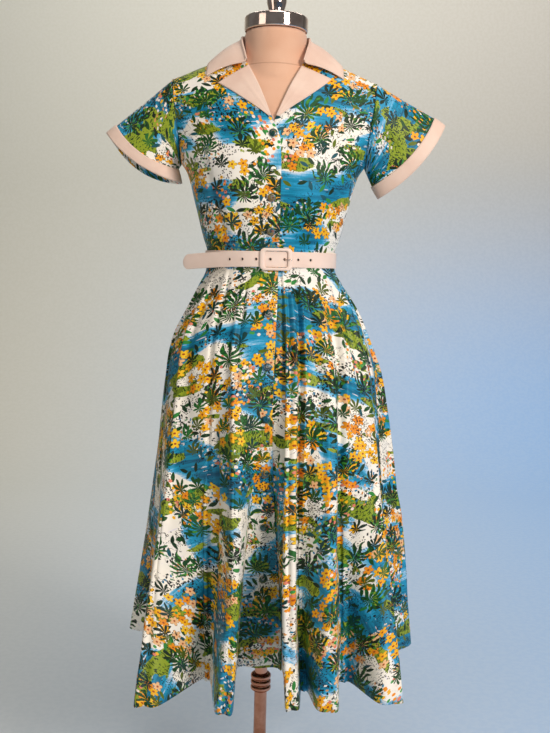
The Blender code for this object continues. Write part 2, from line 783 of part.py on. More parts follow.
def collar_section(share):
    """From the neck seam up the stand, over the fold and down the fall to the edge."""
    fold = Vector(read(COLLAR, "share", column, share) for column in ("fold_x", "fold_y", "fold_z"))
    edge_x = read(COLLAR, "share", "edge_x", share)
    edge_z = read(COLLAR, "share", "edge_z", share)
    lift = read(COLLAR, "share", "above_edge", share) + LAY_GAP + FACED_WALL
    ridge = shoulder_point(True, edge_x, 1).z
    edge = on_shoulder(share > COLLAR_ON_FRONT, edge_x, min(edge_z, ridge - 0.0002), lift)
    seam = neckline_point(share) + UP * COLLAR_SEAM_RISE
    away = Vector((edge.x - fold.x, edge.y - fold.y, 0)).normalized()
    over = fold + away * (COLLAR_FOLD_GAP / 2) + UP * 0.001
    under = fold - UP * 0.005 + away * COLLAR_FOLD_GAP
    fall = [under.lerp(edge, t) + UP * (0.004 * math.sin(math.pi * t)) for t in (0.33, 0.66, 1)]
    return [seam, seam.lerp(fold, 0.5), fold, over, under, *fall]


def make_collar(home, material):
    half = [collar_section(k / (COLLAR_STATIONS / 2)) for k in range(COLLAR_STATIONS // 2 + 1)]
    mirrored = [[Vector((-point.x, point.y, point.z)) for point in section] for section in half]
    sheet(
        "collar",
        mirrored[:0:-1] + half,
        home,
        material,
        wall=FACED_WALL,
        gap=0,
        inside=Vector((0, 0, COLLAR_INSIDE_Z)),
    )


def lapel_rows(name, side):
    last = len(LAPEL) - 1
    rows = []
    for i, step in enumerate(LAPEL):
        roll_x = read(FRONT_EDGE, "share", "x", step.roll_share)
        roll_z = shoulder_point(True, roll_x, step.roll_share).z
        edge_z = step.edge_z + LAPEL_DROP[name] * (i / last) ** 2
        row = []
        for k in range(LAPEL_COLUMNS + 1):
            t = k / LAPEL_COLUMNS
            x, z = lerp(roll_x, step.edge_x, t), lerp(roll_z, edge_z, t)
            lift = LAY_GAP + FACED_WALL + LAPEL_ROLL_RISE * (1 - t) * i / last
            point = on_shoulder(True, x + 0.0008 * (1 - t), z, lift)
            row.append(Vector((point.x * side, point.y, point.z)))
        rows.append(row)
    return rows[::-1]


def make_lapels(home, material):
    for name, side in (("right", -1), ("left", 1)):
        sheet(
            f"lapel_{name}",
            lapel_rows(name, side),
            home,
            material,
            wall=FACED_WALL,
            gap=0,
            inside=Vector((0, 0, LAPEL_INSIDE_Z)),
        )


# ---------------------------------------------------------------- belt and buckle
def waist_plan(angle, out):
    """The waist's section at an angle from the front, moved out; and its direction out."""
    row = BODICE[0]
    point = Vector((row.half_width * math.sin(angle), -math.cos(angle), 0))
    deep = row.front if point.y < 0 else row.back
    point.y *= deep
    normal = Vector((point.x / row.half_width**2, point.y / deep**2, 0)).normalized()
    return point + normal * out, normal


def angle_at(length):
    """The angle whose arc from the centre front is length; to the viewer's right is +."""
    step = 0.0005 * (1 if length > 0 else -1)
    angle, gone = 0.0, 0.0
    while abs(gone) < abs(length):
        here, _ = waist_plan(angle, BELT_OUTER)
        there, _ = waist_plan(angle + step, BELT_OUTER)
        gone += (there - here).length * (1 if step > 0 else -1)
        angle += step
    return angle


def on_belt(length, height, out):
    """A place on the strap's outer turn: along it, up it, and out from the waist."""
    if length >= BELT_LEAVES:
        plan, _ = waist_plan(angle_at(length), out)
    else:
        plan, normal = waist_plan(angle_at(BELT_LEAVES), out)
        past = BELT_LEAVES - length
        along = Vector((normal.y, -normal.x, 0))
        plan = plan + along * past - normal * (0.6 * past**2)
    gone = max(0.0, -length / -BELT_END)
    return Vector((plan.x, plan.y, WAIST_Z + height - BELT_TIP_DROP * gone**2))


def strap_section(middle, normal, half_height):
    up = UP * half_height
    out = normal * (BELT_WALL / 2)
    return [middle - out - up, middle + out - up, middle + out + up, middle - out + up]


def make_belt(home, cutters, material):
    rings = []
    start, rise_from = angle_at(BUCKLE_AT - 0.005), angle_at(BELT_RISE_FROM)
    full_turn = 2 * math.pi
    steps = 52
    for k in range(steps + 1):
        angle = lerp(start, rise_from - full_turn, k / steps)
        middle, normal = waist_plan(angle, BELT_INNER)
        middle.z = WAIST_Z
        rings.append(strap_section(middle, normal, BELT_HEIGHT / 2))
    step, tip_step = 0.006, 0.0022
    length = BELT_RISE_FROM - step
    tip_radius = 0.012
    while length > BELT_END:
        climbed = smooth((BELT_RISE_FROM - length) / (BELT_RISE_FROM - BELT_RISE_TO))
        out = lerp(BELT_INNER, BELT_OUTER, climbed)
        middle = on_belt(length, 0, out)
        ahead = on_belt(length - 0.001, 0, out) - on_belt(length + 0.001, 0, out)
        normal = Vector((ahead.y, -ahead.x, 0)).normalized()
        if normal.dot(Vector((middle.x, middle.y, 0))) < 0:
            normal = -normal
        to_end = length - BELT_END
        half = BELT_HEIGHT / 2
        if to_end < tip_radius:
            half *= math.sqrt(max(0.02, 1 - ((tip_radius - to_end) / tip_radius) ** 2))
        rings.append(strap_section(middle, normal, half))
        length -= step if to_end > tip_radius + 0.004 else tip_step
    belt = add_object("belt", loft_mesh("belt", rings), home, material)
    for number in HOLES:
        at = number * HOLE_PITCH
        strap = BELT_OUTER if at < BELT_RISE_TO else BELT_INNER
        near = on_belt(at, 0, strap - BELT_WALL / 2 - HOLE_PAST)
        far = on_belt(at, 0, strap + 2 * BELT_WALL)
        name = f"hole_{number + len(HOLES) // 2 + 1}"
        cutter = hidden(name, tube(name, [near, far], HOLE_RADIUS, 8, UP), cutters)
        join_or_cut(belt, cutter, "DIFFERENCE")


def tube(name, points, radius, sides, across):
    """A closed round rod through points that lie in one plane; across is square to it."""
    rings = []
    for i, point in enumerate(points):
        ahead = (points[min(i + 1, len(points) - 1)] - points[max(i - 1, 0)]).normalized()
        other = ahead.cross(across).normalized()
        ring = []
        for k in range(sides):
            angle = 2 * math.pi * (k + 0.5) / sides
            ring.append(point + (across * math.cos(angle) + other * math.sin(angle)) * radius)
        rings.append(ring)
    return loft_mesh(name, rings)


def rounded_corner_points(half, corner):
    """A rounded rectangle's outline, from half sizes, with the same count for any size."""
    points = []
    for quarter in range(4):
        sign_x = 1 if quarter in (0, 3) else -1
        sign_y = 1 if quarter in (0, 1) else -1
        for k in range(7):
            angle = math.pi / 2 * (quarter + k / 6)
            points.append(
                (
                    sign_x * (half[0] - corner) + corner * math.cos(angle),
                    sign_y * (half[1] - corner) + corner * math.sin(angle),
                )
            )
    return points


def make_buckle(home, cutters, material, metal):
    outer = rounded_corner_points(BUCKLE_OUTER, BUCKLE_OUTER_CORNER)
    inner = rounded_corner_points(BUCKLE_OPENING, BUCKLE_OPENING_CORNER)
    half = BUCKLE_WALL / 2
    profile = ((0.0, -half), (0.0, 0.3 * half), (0.25, half), (0.75, half), (1.0, 0.3 * half), (1.0, -half))
    rings = []
    for (ox, oy), (ix, iy) in zip(outer, inner):
        rings.append(
            [
                on_belt(BUCKLE_AT + lerp(ix, ox, share), lerp(iy, oy, share), BUCKLE_OUT + rise)
                for share, rise in profile
            ]
        )
    frame = add_object("buckle", loft_mesh("buckle", rings, joined=True), home, material)
    reach = BUCKLE_OPENING[1] + BAR_INTO_FRAME
    down_one_side = [(reach, BUCKLE_OUT), (reach, BAR_OUT + 0.0012), (reach - 0.0008, BAR_OUT)]
    route = down_one_side + [(-height, out) for height, out in down_one_side[::-1]]
    points = [on_belt(BUCKLE_AT, height, out) for height, out in route]
    bar = tube("buckle_bar", points, BAR_RADIUS, 8, Vector((1, 0, 0)))
    join_or_cut(frame, hidden("buckle_bar", bar, cutters), "UNION")

    beside_bar = BUCKLE_AT + BAR_RADIUS + PRONG_RADIUS + PRONG_GAP
    points = [on_belt(beside_bar, 0, PRONG_ROUTE[0].out)]
    points += [on_belt(HOLE_PITCH + step.past_hole, 0, step.out) for step in PRONG_ROUTE]
    add_object("buckle_prong", tube("buckle_prong", points, PRONG_RADIUS, 8, UP), home, metal)


# ---------------------------------------------------------------- buttons
def make_buttons(home, material, bodice, skirt):
    places = [(bodice, z) for z in BODICE_BUTTONS_Z] + [(skirt, z) for z in SKIRT_BUTTONS_Z]
    radius, height = BUTTON_RADIUS, BUTTON_HEIGHT
    profile = [
        (0, height),
        (radius * 0.55, height * 0.86),
        (radius, height * 0.40),
        (radius * 0.92, height * 0.18),
        (radius * 0.35, 0.0),
        (0, 0.0),
    ]
    for number, (panel, z) in enumerate(places, 1):
        here = panel.ray_cast(Vector((0, -1, z)), Vector((0, 1, 0)))[1]
        near = ((-0.003, 0), (0.003, 0), (0, -0.003), (0, 0.003))
        normals = [panel.ray_cast(Vector((x, -1, z + up)), Vector((0, 1, 0)))[2] for x, up in near]
        out = sum(normals, Vector()).normalized()
        button = turned(f"button_{number}", profile, home, material, steps=12)
        button.rotation_mode = "QUATERNION"
        button.rotation_quaternion = out.to_track_quat("Z", "Y")
        button.location = here + out * BUTTON_GAP


# ---------------------------------------------------------------- form and stand
FORM_RING_STEPS = 8


def form_ring_lower(row_z, rows):
    half = read(rows, "z", "half_width", row_z)
    front, back = [], []
    for k in range(FORM_RING_STEPS + 1):
        x = side_share(k, FORM_RING_STEPS) * half
        front.append(torso_point(True, x, row_z, rows, with_bust=rows is BODICE))
        back.append(torso_point(False, x, row_z, rows))
    return front, back


def form_ring_upper(share):
    edge = read(ARMHOLE, "share", "x", share) - FORM_ARM_X * smooth(share / 0.1)
    front, back = [], []
    for k in range(FORM_RING_STEPS + 1):
        x = side_share(k, FORM_RING_STEPS) * edge
        front.append(shoulder_point(True, x, share))
        back.append(shoulder_point(False, x, share))
    return front, back


def form_rings():
    rings = []
    lower = [form_ring_lower(row.z, FORM_LOWER) for row in FORM_LOWER]
    middle = [form_ring_lower(z, BODICE) for z in (1.092, 1.120, 1.150, 1.180, 1.205, 1.225, ARMPIT_Z)]
    upper = [form_ring_upper(k / ARMHOLE_STEPS) for k in range(1, ARMHOLE_STEPS + 1)]
    for front, back in lower + middle + upper:
        side_middle = (front[-1] + back[-1]) / 2
        right_half = front + [side_middle] + back[::-1]
        left_half = [Vector((-p.x, p.y, p.z)) for p in right_half[-2:0:-1]]
        rings.append(right_half + left_half)
    return rings


def make_form(home, cutters, jersey):
    mesh = loft_mesh("form_torso", form_rings())
    shape = bmesh.new()
    shape.from_mesh(mesh)
    shape.normal_update()
    moves = []
    for vertex in shape.verts:
        z = vertex.co.z
        clear = FORM_CLEAR * smooth((z - FORM_CLEAR_FROM) / (FORM_CLEAR_TO - FORM_CLEAR_FROM))
        near_top = smooth((z - FORM_SHOULDER_FROM) / (FORM_SHOULDER_TO - FORM_SHOULDER_FROM))
        clear = lerp(clear, FORM_CLEAR_SHOULDER, near_top)
        moves.append((vertex, vertex.normal * clear))
    for vertex, move in moves:
        vertex.co -= move
    shape.to_mesh(mesh)
    shape.free()
    mesh.shade_smooth()
    torso = add_object("form_torso", mesh, home, jersey)
    profile = [
        (0, CAP_BOTTOM_Z - 0.0003),
        (NECK_RADIUS - 0.003, CAP_BOTTOM_Z - 0.0003),
        (NECK_RADIUS, CAP_BOTTOM_Z - 0.003),
        (NECK_RADIUS - 0.0007, 1.470),
        (NECK_RADIUS - 0.0020, 1.450),
        (NECK_RADIUS - 0.0005, 1.425),
        (NECK_RADIUS + 0.0035, 1.405),
        (NECK_RADIUS - 0.010, 1.385),
        (0, 1.370),
    ]
    neck = turned("form_neck", profile, cutters, jersey, steps=32)
    neck.location.y = NECK_Y
    neck.hide_render = True
    neck.display_type = "WIRE"
    join_or_cut(torso, neck, "UNION")


def make_stand(home, chrome, metal):
    gap = 0.0003
    cap = [
        (0, CAP_TOP_Z + 0.006),
        (0.030, CAP_TOP_Z + 0.005),
        (0.052, CAP_TOP_Z + 0.0015),
        (CAP_RADIUS - 0.0015, CAP_TOP_Z - 0.0005),
        (CAP_RADIUS, CAP_TOP_Z - 0.003),
        (CAP_RADIUS, CAP_BOTTOM_Z + 0.002),
        (CAP_RADIUS - 0.0015, CAP_BOTTOM_Z),
        (0, CAP_BOTTOM_Z),
    ]
    plate = turned("neck_cap", cap, home, chrome, steps=36)
    plate.location.y = NECK_Y
    foot = CAP_TOP_Z + 0.006 + gap
    finial = [
        (0, foot + 0.043),
        (0.0100, foot + 0.041),
        (0.0165, foot + 0.035),
        (0.0186, foot + 0.027),
        (0.0180, foot + 0.019),
        (0.0152, foot + 0.009),
        (0.0150, foot + 0.005),
        (0.0166, foot + 0.002),
        (0.0166, foot),
        (0, foot),
    ]
    knob = turned("finial", finial, home, chrome, steps=20)
    knob.location.y = NECK_Y
    base_top = 0.030
    pole_top = FORM_LOWER[0].z - gap
    turned(
        "pole",
        [(0, pole_top), (POLE_RADIUS, pole_top), (POLE_RADIUS, base_top + gap), (0, base_top + gap)],
        home,
        metal,
        steps=20,
    )
    ring_radius, ring_height, ring_top, ring_count = 0.0202, 0.0117, 0.2630, 3
    inner = POLE_RADIUS + gap
    outline = []
    for k in range(ring_count):
        top = ring_top - k * ring_height
        outline += [
            (0.0165, top),
            (ring_radius, top - 0.25 * ring_height),
            (ring_radius, top - 0.75 * ring_height),
        ]
    bottom = ring_top - ring_count * ring_height
    outline += [(0.0165, bottom), (inner, bottom), (inner, ring_top)]
    turned("pole_collar", outline, home, metal, steps=16, closed=True)
    base = [
        (0, base_top),
        (0.020, base_top),
        (0.024, 0.022),
        (0.060, 0.017),
        (BASE_RADIUS - 0.012, 0.012),
        (BASE_RADIUS, 0.007),
        (BASE_RADIUS, 0.0),
        (0, 0.0),
    ]
    turned("base", base, home, metal, steps=40)


def main():
    for old in list(bpy.data.objects):
        bpy.data.objects.remove(old, do_unlink=True)
    looks = make_materials()
    home = collection("shirtwaist_dress_on_form")
    cutters = collection("cutters")
    make_form(home, cutters, looks["jersey"])
    make_stand(home, looks["chrome"], looks["stand_metal"])
    bodice = make_bodice(home, looks["printed_cotton"])
    skirt = make_skirt(home, looks["printed_cotton"])
    make_sleeves(home, looks["printed_cotton"], looks["white_cotton"])
    make_collar(home, looks["white_cotton"])
    make_lapels(home, looks["white_cotton"])
    make_belt(home, cutters, looks["covered_belt"])
    make_buckle(home, cutters, looks["covered_belt"], looks["chrome"])
    bpy.context.view_layer.update()
    make_buttons(home, looks["covered_button"], bodice, skirt)


main()
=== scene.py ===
"""The shirtwaist dress on its form, finished: cloth, print, sewing, metal, stage and light.

Metres, +Z up, and the front faces -Y, as in the frame.
"right" and "left" in names are the wearer's: the wearer's right is at -X.
"""

import math
from collections import namedtuple

import bpy
from mathutils import Matrix, Vector


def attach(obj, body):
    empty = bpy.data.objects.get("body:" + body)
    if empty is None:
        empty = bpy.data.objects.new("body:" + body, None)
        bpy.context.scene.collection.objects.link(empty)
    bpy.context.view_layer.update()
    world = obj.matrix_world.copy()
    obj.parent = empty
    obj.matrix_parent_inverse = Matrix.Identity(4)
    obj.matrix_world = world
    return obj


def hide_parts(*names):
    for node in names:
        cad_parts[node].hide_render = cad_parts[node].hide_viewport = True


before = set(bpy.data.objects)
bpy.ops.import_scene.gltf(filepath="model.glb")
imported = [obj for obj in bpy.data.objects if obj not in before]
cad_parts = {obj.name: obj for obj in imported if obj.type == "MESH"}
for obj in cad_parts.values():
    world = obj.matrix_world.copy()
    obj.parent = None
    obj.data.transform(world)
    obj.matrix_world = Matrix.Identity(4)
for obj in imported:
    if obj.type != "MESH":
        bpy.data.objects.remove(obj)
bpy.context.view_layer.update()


def table(columns, rows):
    Row = namedtuple("Row", columns)
    return [Row(*row) for row in rows]


# ---------------------------------------------------------------- driving sizes
WALL = 0.0012  # printed cotton
FACED_WALL = 0.0014  # white cotton, two layers: collar, lapels, cuffs
SEAM_GAP = 0.0008
LAY_GAP = 0.0006  # between a piece and the panel it lies on
LAP_STEP = WALL + 0.0009  # how far the under layer of the lap lies inside the top one

WAIST_Z = 1.077
ARMPIT_Z = 1.250
SHOULDER_Z = 1.405
HEM_Z = 0.300
LAP_HALF = 0.016  # the two fronts overlap by twice this at the centre
LAP_TOP_Z = 1.335  # above this the fronts part into the V

# Where the surface would meet the middle of the neck, if the shoulders ran on to it.
RIDGE_Z = 1.475
RIDGE_Y = 0.010
SHOULDER_FALL = 1.2  # exponent of the ridge's fall from the neck to the arm
FRONT_ARCH = 1.5  # exponent of the curve from chest to shoulder
BACK_ARCH = 2.6

BODICE = table(
    "z half_width front back square",
    [
        (WAIST_Z, 0.1200, 0.0920, 0.0880, 2.00),
        (1.0910, 0.1206, 0.0926, 0.0886, 2.00),
        (1.1140, 0.1275, 0.0985, 0.0925, 2.10),
        (1.1740, 0.1430, 0.1120, 0.0995, 2.30),
        (1.2320, 0.1590, 0.1180, 0.1040, 2.40),
        (ARMPIT_Z, 0.1705, 0.1185, 0.1050, 2.40),
    ],
)
BUST_X, BUST_Z, BUST_RISE = 0.074, 1.212, 0.007
BUST_WIDE, BUST_TALL = 0.034, 0.042

# The armhole's seam, from the armpit (share 0) to the shoulder point (share 1).
ARMHOLE = table(
    "share x front_y back_y",
    [
        (0.00, 0.1705, 0.000, 0.000),
        (0.20, 0.1730, -0.030, 0.034),
        (0.50, 0.1815, -0.040, 0.046),
        (0.80, 0.1870, -0.024, 0.034),
        (1.00, 0.1895, 0.010, 0.010),
    ],
)
# Each front's inner edge above the armpit: lap, bottom of the V, roll line, neck.
FRONT_EDGE = table(
    "share x",
    [
        (0.00, -LAP_HALF),
        (0.17, -0.0130),
        (0.27, -0.0002),
        (0.43, 0.0200),
        (0.67, 0.0490),
        (0.84, 0.0600),
        (1.00, 0.0665),
    ],
)
NECK_X = 0.0665
BACK_NECK_DROP = 0.265  # share of the arch that the neckline dips by at the centre back

# Ellipse sections of the skirt without its folds.
SKIRT = table(
    "z left right front back",
    [
        (WAIST_Z, 0.1200, 0.1200, 0.0920, 0.0880),
        (1.0620, 0.1206, 0.1210, 0.0926, 0.0887),
        (1.0270, 0.1330, 0.1400, 0.1040, 0.1030),
        (0.9820, 0.1550, 0.1640, 0.1170, 0.1220),
        (0.9350, 0.1790, 0.1815, 0.1290, 0.1390),
        (0.9000, 0.1890, 0.1930, 0.1350, 0.1470),
        (0.8560, 0.1950, 0.2040, 0.1410, 0.1540),
        (0.7940, 0.2010, 0.2110, 0.1480, 0.1610),
        (0.7030, 0.2060, 0.2190, 0.1570, 0.1700),
        (0.5300, 0.2130, 0.2330, 0.1720, 0.1850),
        (HEM_Z, 0.2250, 0.2480, 0.1880, 0.2020),
    ],
)
# Ridges and valleys of the skirt in turn, from the centre front to the viewer's right.
# waist and middle are angles round the section, in degrees, with the half spread of each
# at the waist; hem_x and hem_y are the fold's tip at the hem, hem_half its half width
# there, faces the direction it points in, and it begins at share "starts" of the length.
FOLDS = table(
    "waist spread middle hem_x hem_y hem_half faces starts power",
    [
        (0, 7.7, -1, -0.005, -0.067, 0.043, 0, 0.00, 2.2),
        (13, 3, 10, 0.057, -0.236, 0.013, 0, 0.00, 1.5),
        (22, 3, 17, 0.080, -0.163, 0.006, 0, 0.10, 1.6),
        (34, 5, 27, 0.119, -0.240, 0.019, 0, 0.00, 1.4),
        (50, 5, 42, 0.156, -0.121, 0.012, 10, 0.10, 1.6),
        (65, 6, 56, 0.236, -0.203, 0.024, 20, 0.25, 1.5),
        (80, 4, 75, 0.200, -0.045, 0.018, 85, 0.15, 1.5),
        (100, 4, 98, 0.303, 0.080, 0.024, 100, 0.04, 1.0),
        (118, 5, 119, 0.165, 0.100, 0.014, 120, 0.12, 1.6),
        (135, 5, 137, 0.195, 0.215, 0.022, 138, 0.08, 1.4),
        (152, 5, 152, 0.080, 0.163, 0.014, 155, 0.08, 1.6),
        (170, 5, 171, 0.032, 0.280, 0.022, 173, 0.08, 1.4),
        (188, 5, 190, -0.042, 0.174, 0.014, 192, 0.10, 1.6),
        (206, 5, 207, -0.125, 0.262, 0.022, 206, 0.08, 1.4),
        (226, 5, 228, -0.135, 0.142, 0.014, 226, 0.12, 1.6),
        (253, 5, 250, -0.276, 0.128, 0.016, 258, 0.12, 1.3),
        (285, 5, 276, -0.196, 0.055, 0.020, 268, 0.20, 1.6),
        (302, 5, 309, -0.199, -0.234, 0.024, 345, 0.25, 1.6),
        (322, 4, 329, -0.101, -0.130, 0.012, 335, 0.45, 1.4),
        (338, 4, 347, -0.061, -0.256, 0.016, 0, 0.05, 1.4),
    ],
)
MIDDLE_SPREAD = 0.7  # of the spread at the waist
RIDGE_ROUND, VALLEY_ROUND = 0.45, 0.20  # how far a fold's shoulders fall back from its tip
LAP_EDGE = 1 / 3  # the lap's edges, in folds from the centre valley
RIGHT_SIDE_SEAM, CENTRE_BACK, LEFT_SIDE_SEAM = 6.5, 11.0, 15.5

# Sleeve loops as seen from the front: seam of the cuff, then hem; each top, then bottom.
SLEEVES = table(
    "name side seam_top seam_bottom hem_top hem_bottom bow_front bow_back",
    [
        ("left", 1, (0.297, 1.345), (0.186, 1.217), (0.318, 1.331), (0.200, 1.195), 0.014, 0.010),
        ("right", -1, (0.292, 1.318), (0.177, 1.239), (0.311, 1.303), (0.171, 1.214), 0.015, 0.024),
    ],
)
SLEEVE_HALF_DEPTH, SLEEVE_Y = 0.032, -0.002
SLEEVE_HEAD_GAP = 0.00128  # from the armhole's seam
ARMHOLE_MIDDLE = (0.17, 1.31)  # x and z

# Half the collar, from the centre back (share 0) to the lapel (share 1).
# The fold is the collar's top line; the edge lies on the shoulder, given by x and z,
# and above_edge is how far it stands off there.
COLLAR = table(
    "share fold_x fold_y fold_z edge_x edge_z above_edge",
    [
        (0.00, 0.0000, 0.0620, 1.4960, 0.000, 1.437, 0.005),
        (0.20, 0.0270, 0.0570, 1.4955, 0.040, 1.435, 0.004),
        (0.42, 0.0500, 0.0380, 1.4920, 0.082, 1.429, 0.003),
        (0.62, 0.0615, 0.0100, 1.4860, 0.117, 1.4335, 0.003),
        (0.78, 0.0600, -0.0200, 1.4720, 0.123, 1.424, 0.003),
        (0.90, 0.0550, -0.0420, 1.4520, 0.124, 1.413, 0.002),
        (1.00, 0.0505, -0.0560, 1.4340, 0.125, 1.403, 0.001),
    ],
)
COLLAR_FOLD_GAP = 0.0060  # from the stand to the fall, just under the fold
COLLAR_SEAM_RISE = 0.0022  # the stand's foot, above the neck seam
COLLAR_ON_FRONT = 0.66  # from this share on, its edge lies on the front of the shoulder
COLLAR_INSIDE_Z, LAPEL_INSIDE_Z = 1.40, 1.35  # heights in the body that they face away from

# A lapel, from the V up: where it rolls, and its outer edge by x and z.
LAPEL = table(
    "roll_share edge_x edge_z",
    [
        (0.300, 0.0085, 1.3275),
        (0.350, 0.0290, 1.3430),
        (0.430, 0.0560, 1.3620),
        (0.510, 0.0780, 1.3780),
        (0.580, 0.0930, 1.3890),
        (0.645, 0.1020, 1.3965),
    ],
)
LAPEL_DROP = {"right": -0.0070, "left": 0.0060}  # of its point, from the mean
LAPEL_ROLL_RISE = 0.0016

BELT_HEIGHT, BELT_WALL = 0.028, 0.0020
BELT_INNER = 0.0028  # the strap's middle, out from the waist
BELT_OUTER = BELT_INNER + BELT_WALL + 0.0003
BELT_RISE_FROM, BELT_RISE_TO = 0.075, 0.045  # where it climbs over its own start
BELT_LEAVES = -0.066  # where the free end leaves the waist
BELT_END = -0.178
BELT_TIP_DROP = 0.009
HOLE_PITCH, HOLE_RADIUS = 0.0255, 0.0024
HOLES = range(-3, 4)
HOLE_PAST = 0.00015  # how far a hole's cutter runs past the strap's inner side
BUCKLE_AT = 0.0105
BUCKLE_OUTER, BUCKLE_OPENING = (0.0290, 0.0200), (0.0205, 0.0147)  # half sizes
BUCKLE_OUTER_CORNER, BUCKLE_OPENING_CORNER = 0.0090, 0.0040
BUCKLE_WALL = 0.0034
BUCKLE_OUT = BELT_OUTER + BELT_WALL / 2 + 0.0006 + BUCKLE_WALL / 2
BAR_RADIUS, PRONG_RADIUS = 0.0011, 0.0010
BAR_INTO_FRAME, BAR_OUT = 0.0016, 0.0023
PRONG_GAP = 0.0004  # from the bar
PRONG_OVER = BUCKLE_OUT + BUCKLE_WALL / 2 + 0.0015
# The prong comes up through the first hole and lies over the frame.
PRONG_ROUTE = table(
    "past_hole out",
    [
        (-0.0030, 0.0024),
        (-0.0004, 0.0036),
        (0.0004, 0.0066),
        (0.0026, 0.0100),
        (0.0060, PRONG_OVER),
        (0.0118, PRONG_OVER),
    ],
)

BODICE_BUTTONS_Z = (1.297, 1.234, 1.185, 1.126)
SKIRT_BUTTONS_Z = (0.980, 0.886, 0.793, 0.694, 0.594, 0.492)
BUTTON_RADIUS, BUTTON_HEIGHT, BUTTON_GAP = 0.0075, 0.0045, 0.0004

FORM_LOWER = table(
    "z half_width front back square",
    [
        (0.800, 0.1400, 0.0940, 0.1030, 2.3),
        (0.812, 0.1530, 0.1030, 0.1140, 2.3),
        (0.840, 0.1630, 0.1100, 0.1240, 2.3),
        (0.885, 0.1670, 0.1130, 0.1290, 2.3),
        (0.935, 0.1620, 0.1110, 0.1240, 2.25),
        (0.985, 0.1440, 0.1030, 0.1100, 2.2),
        (1.030, 0.1210, 0.0925, 0.0925, 2.1),
        (1.062, 0.1130, 0.0860, 0.0820, 2.0),
    ],
)
FORM_CLEAR = 0.0065  # inside the cloth, over the bust and waist
FORM_CLEAR_SHOULDER = 0.0034
FORM_CLEAR_FROM, FORM_CLEAR_TO = 1.065, 1.085  # where that clearance sets in
FORM_SHOULDER_FROM, FORM_SHOULDER_TO = 1.28, 1.38  # where the shoulder's takes over
FORM_ARM_X = 0.0060  # the form's arm end, in from the armhole seam
NECK_RADIUS = 0.0575
NECK_Y = -0.004  # the neck is set a little forward
CAP_RADIUS, CAP_BOTTOM_Z, CAP_TOP_Z = 0.0586, 1.4925, 1.5185
POLE_RADIUS, BASE_RADIUS = 0.0125, 0.180


# ---------------------------------------------------------------- small maths
UP, BACKWARDS = Vector((0, 0, 1)), Vector((0, 1, 0))
ROUND = 2 * math.pi


def smooth(x):
    x = min(1.0, max(0.0, x))
    return x * x * (3 - 2 * x)


def lerp(a, b, t):
    return a + (b - a) * t


def read(rows, key, column, at):
    """The column's value at a key, on a smooth curve through the rows."""
    keys = [getattr(row, key) for row in rows]
    values = [getattr(row, column) for row in rows]
    if keys[0] > keys[-1]:
        keys, values = keys[::-1], values[::-1]
    at = min(keys[-1], max(keys[0], at))
    i = max(k for k in range(len(keys) - 1) if keys[k] <= at)
    span = keys[i + 1] - keys[i]
    chord = (values[i + 1] - values[i]) / span

    def slope(k):
        if k in (0, len(keys) - 1):
            return chord
        before = (values[k] - values[k - 1]) / (keys[k] - keys[k - 1])
        after = (values[k + 1] - values[k]) / (keys[k + 1] - keys[k])
        return 0.0 if before * after <= 0 else 2 * before * after / (before + after)

    t = (at - keys[i]) / span
    start = slope(i)
    end = slope(i + 1)
    return (
        values[i] * (1 + 2 * t) * (1 - t) ** 2
        + start * span * t * (1 - t) ** 2
        + values[i + 1] * t * t * (3 - 2 * t)
        - end * span * t * t * (1 - t)
    )


def between(a, b, c, d, t):
    """Catmull-Rom from b to c, with a before them and d after."""
    bend = (a * 2 - b * 5 + c * 4 - d) * (t * t / 2)
    return b + (c - a) * (t / 2) + bend + (b * 3 - a - c * 3 + d) * (t**3 / 2)


def round_ring(values, at):
    """A smooth curve round a closed ring of values, at a position counted in values."""
    n = len(values)
    i = math.floor(at)
    a, b, c, d = (values[(i + k) % n] for k in (-1, 0, 1, 2))
    return between(a, b, c, d, at - i)


# ---------------------------------------------------------------- the bodice's surface
def bust(x, z):
    wide = ((abs(x) - BUST_X) / BUST_WIDE) ** 2
    tall = ((z - BUST_Z) / BUST_TALL) ** 2
    return BUST_RISE * math.exp(-(wide + tall) / 2)


def torso_point(front, x, z, rows=BODICE, with_bust=True):
    """A point of the bodice between waist and armpit."""
    half = read(rows, "z", "half_width", z)
    depth = read(rows, "z", "front" if front else "back", z)
    square = read(rows, "z", "square", z)
    share = min(1.0, abs(x) / half)
    y = depth * (1 - share**square) ** (1 / square)
    if not front:
        return Vector((x, y, z))
    rise = bust(x, z) if with_bust else 0.0
    return Vector((x, -y - rise * min(1.0, 4 * (1 - share)), z))


def shoulder_point(front, x, share):
    """A point above the armpit: share 0 is the armpit's level, 1 the shoulder's ridge."""
    arch = FRONT_ARCH if front else BACK_ARCH
    up = math.sin(share * math.pi / 2)
    across = math.cos(share * math.pi / 2)
    bottom = BODICE[-1]
    deep = -bottom.front if front else bottom.back
    middle_y = RIDGE_Y + (deep - RIDGE_Y) * across ** (2 / arch)
    middle_z = ARMPIT_Z + (RIDGE_Z - ARMPIT_Z) * up ** (2 / arch)
    edge_y = read(ARMHOLE, "share", "front_y" if front else "back_y", share)
    edge_z = ARMPIT_Z + (SHOULDER_Z - ARMPIT_Z) * up**1.15
    s = min(1.0, abs(x) / read(ARMHOLE, "share", "x", share))
    barrel = 1 - (1 - s**bottom.square) ** (1 / bottom.square)
    turn = lerp(barrel, s**2.2, smooth(share / 0.3))
    fall = s ** lerp(2.0, SHOULDER_FALL, share)
    z = lerp(middle_z, edge_z, fall)
    y = lerp(middle_y, edge_y, turn)
    if front:
        y -= bust(x, z) * min(1.0, 4 * (1 - s)) * (1 - smooth(share / 0.6))
    return Vector((x, y, z))


HALVINGS, BESIDE = 30, 0.002  # how finely a share is found, and how far off a slope is read


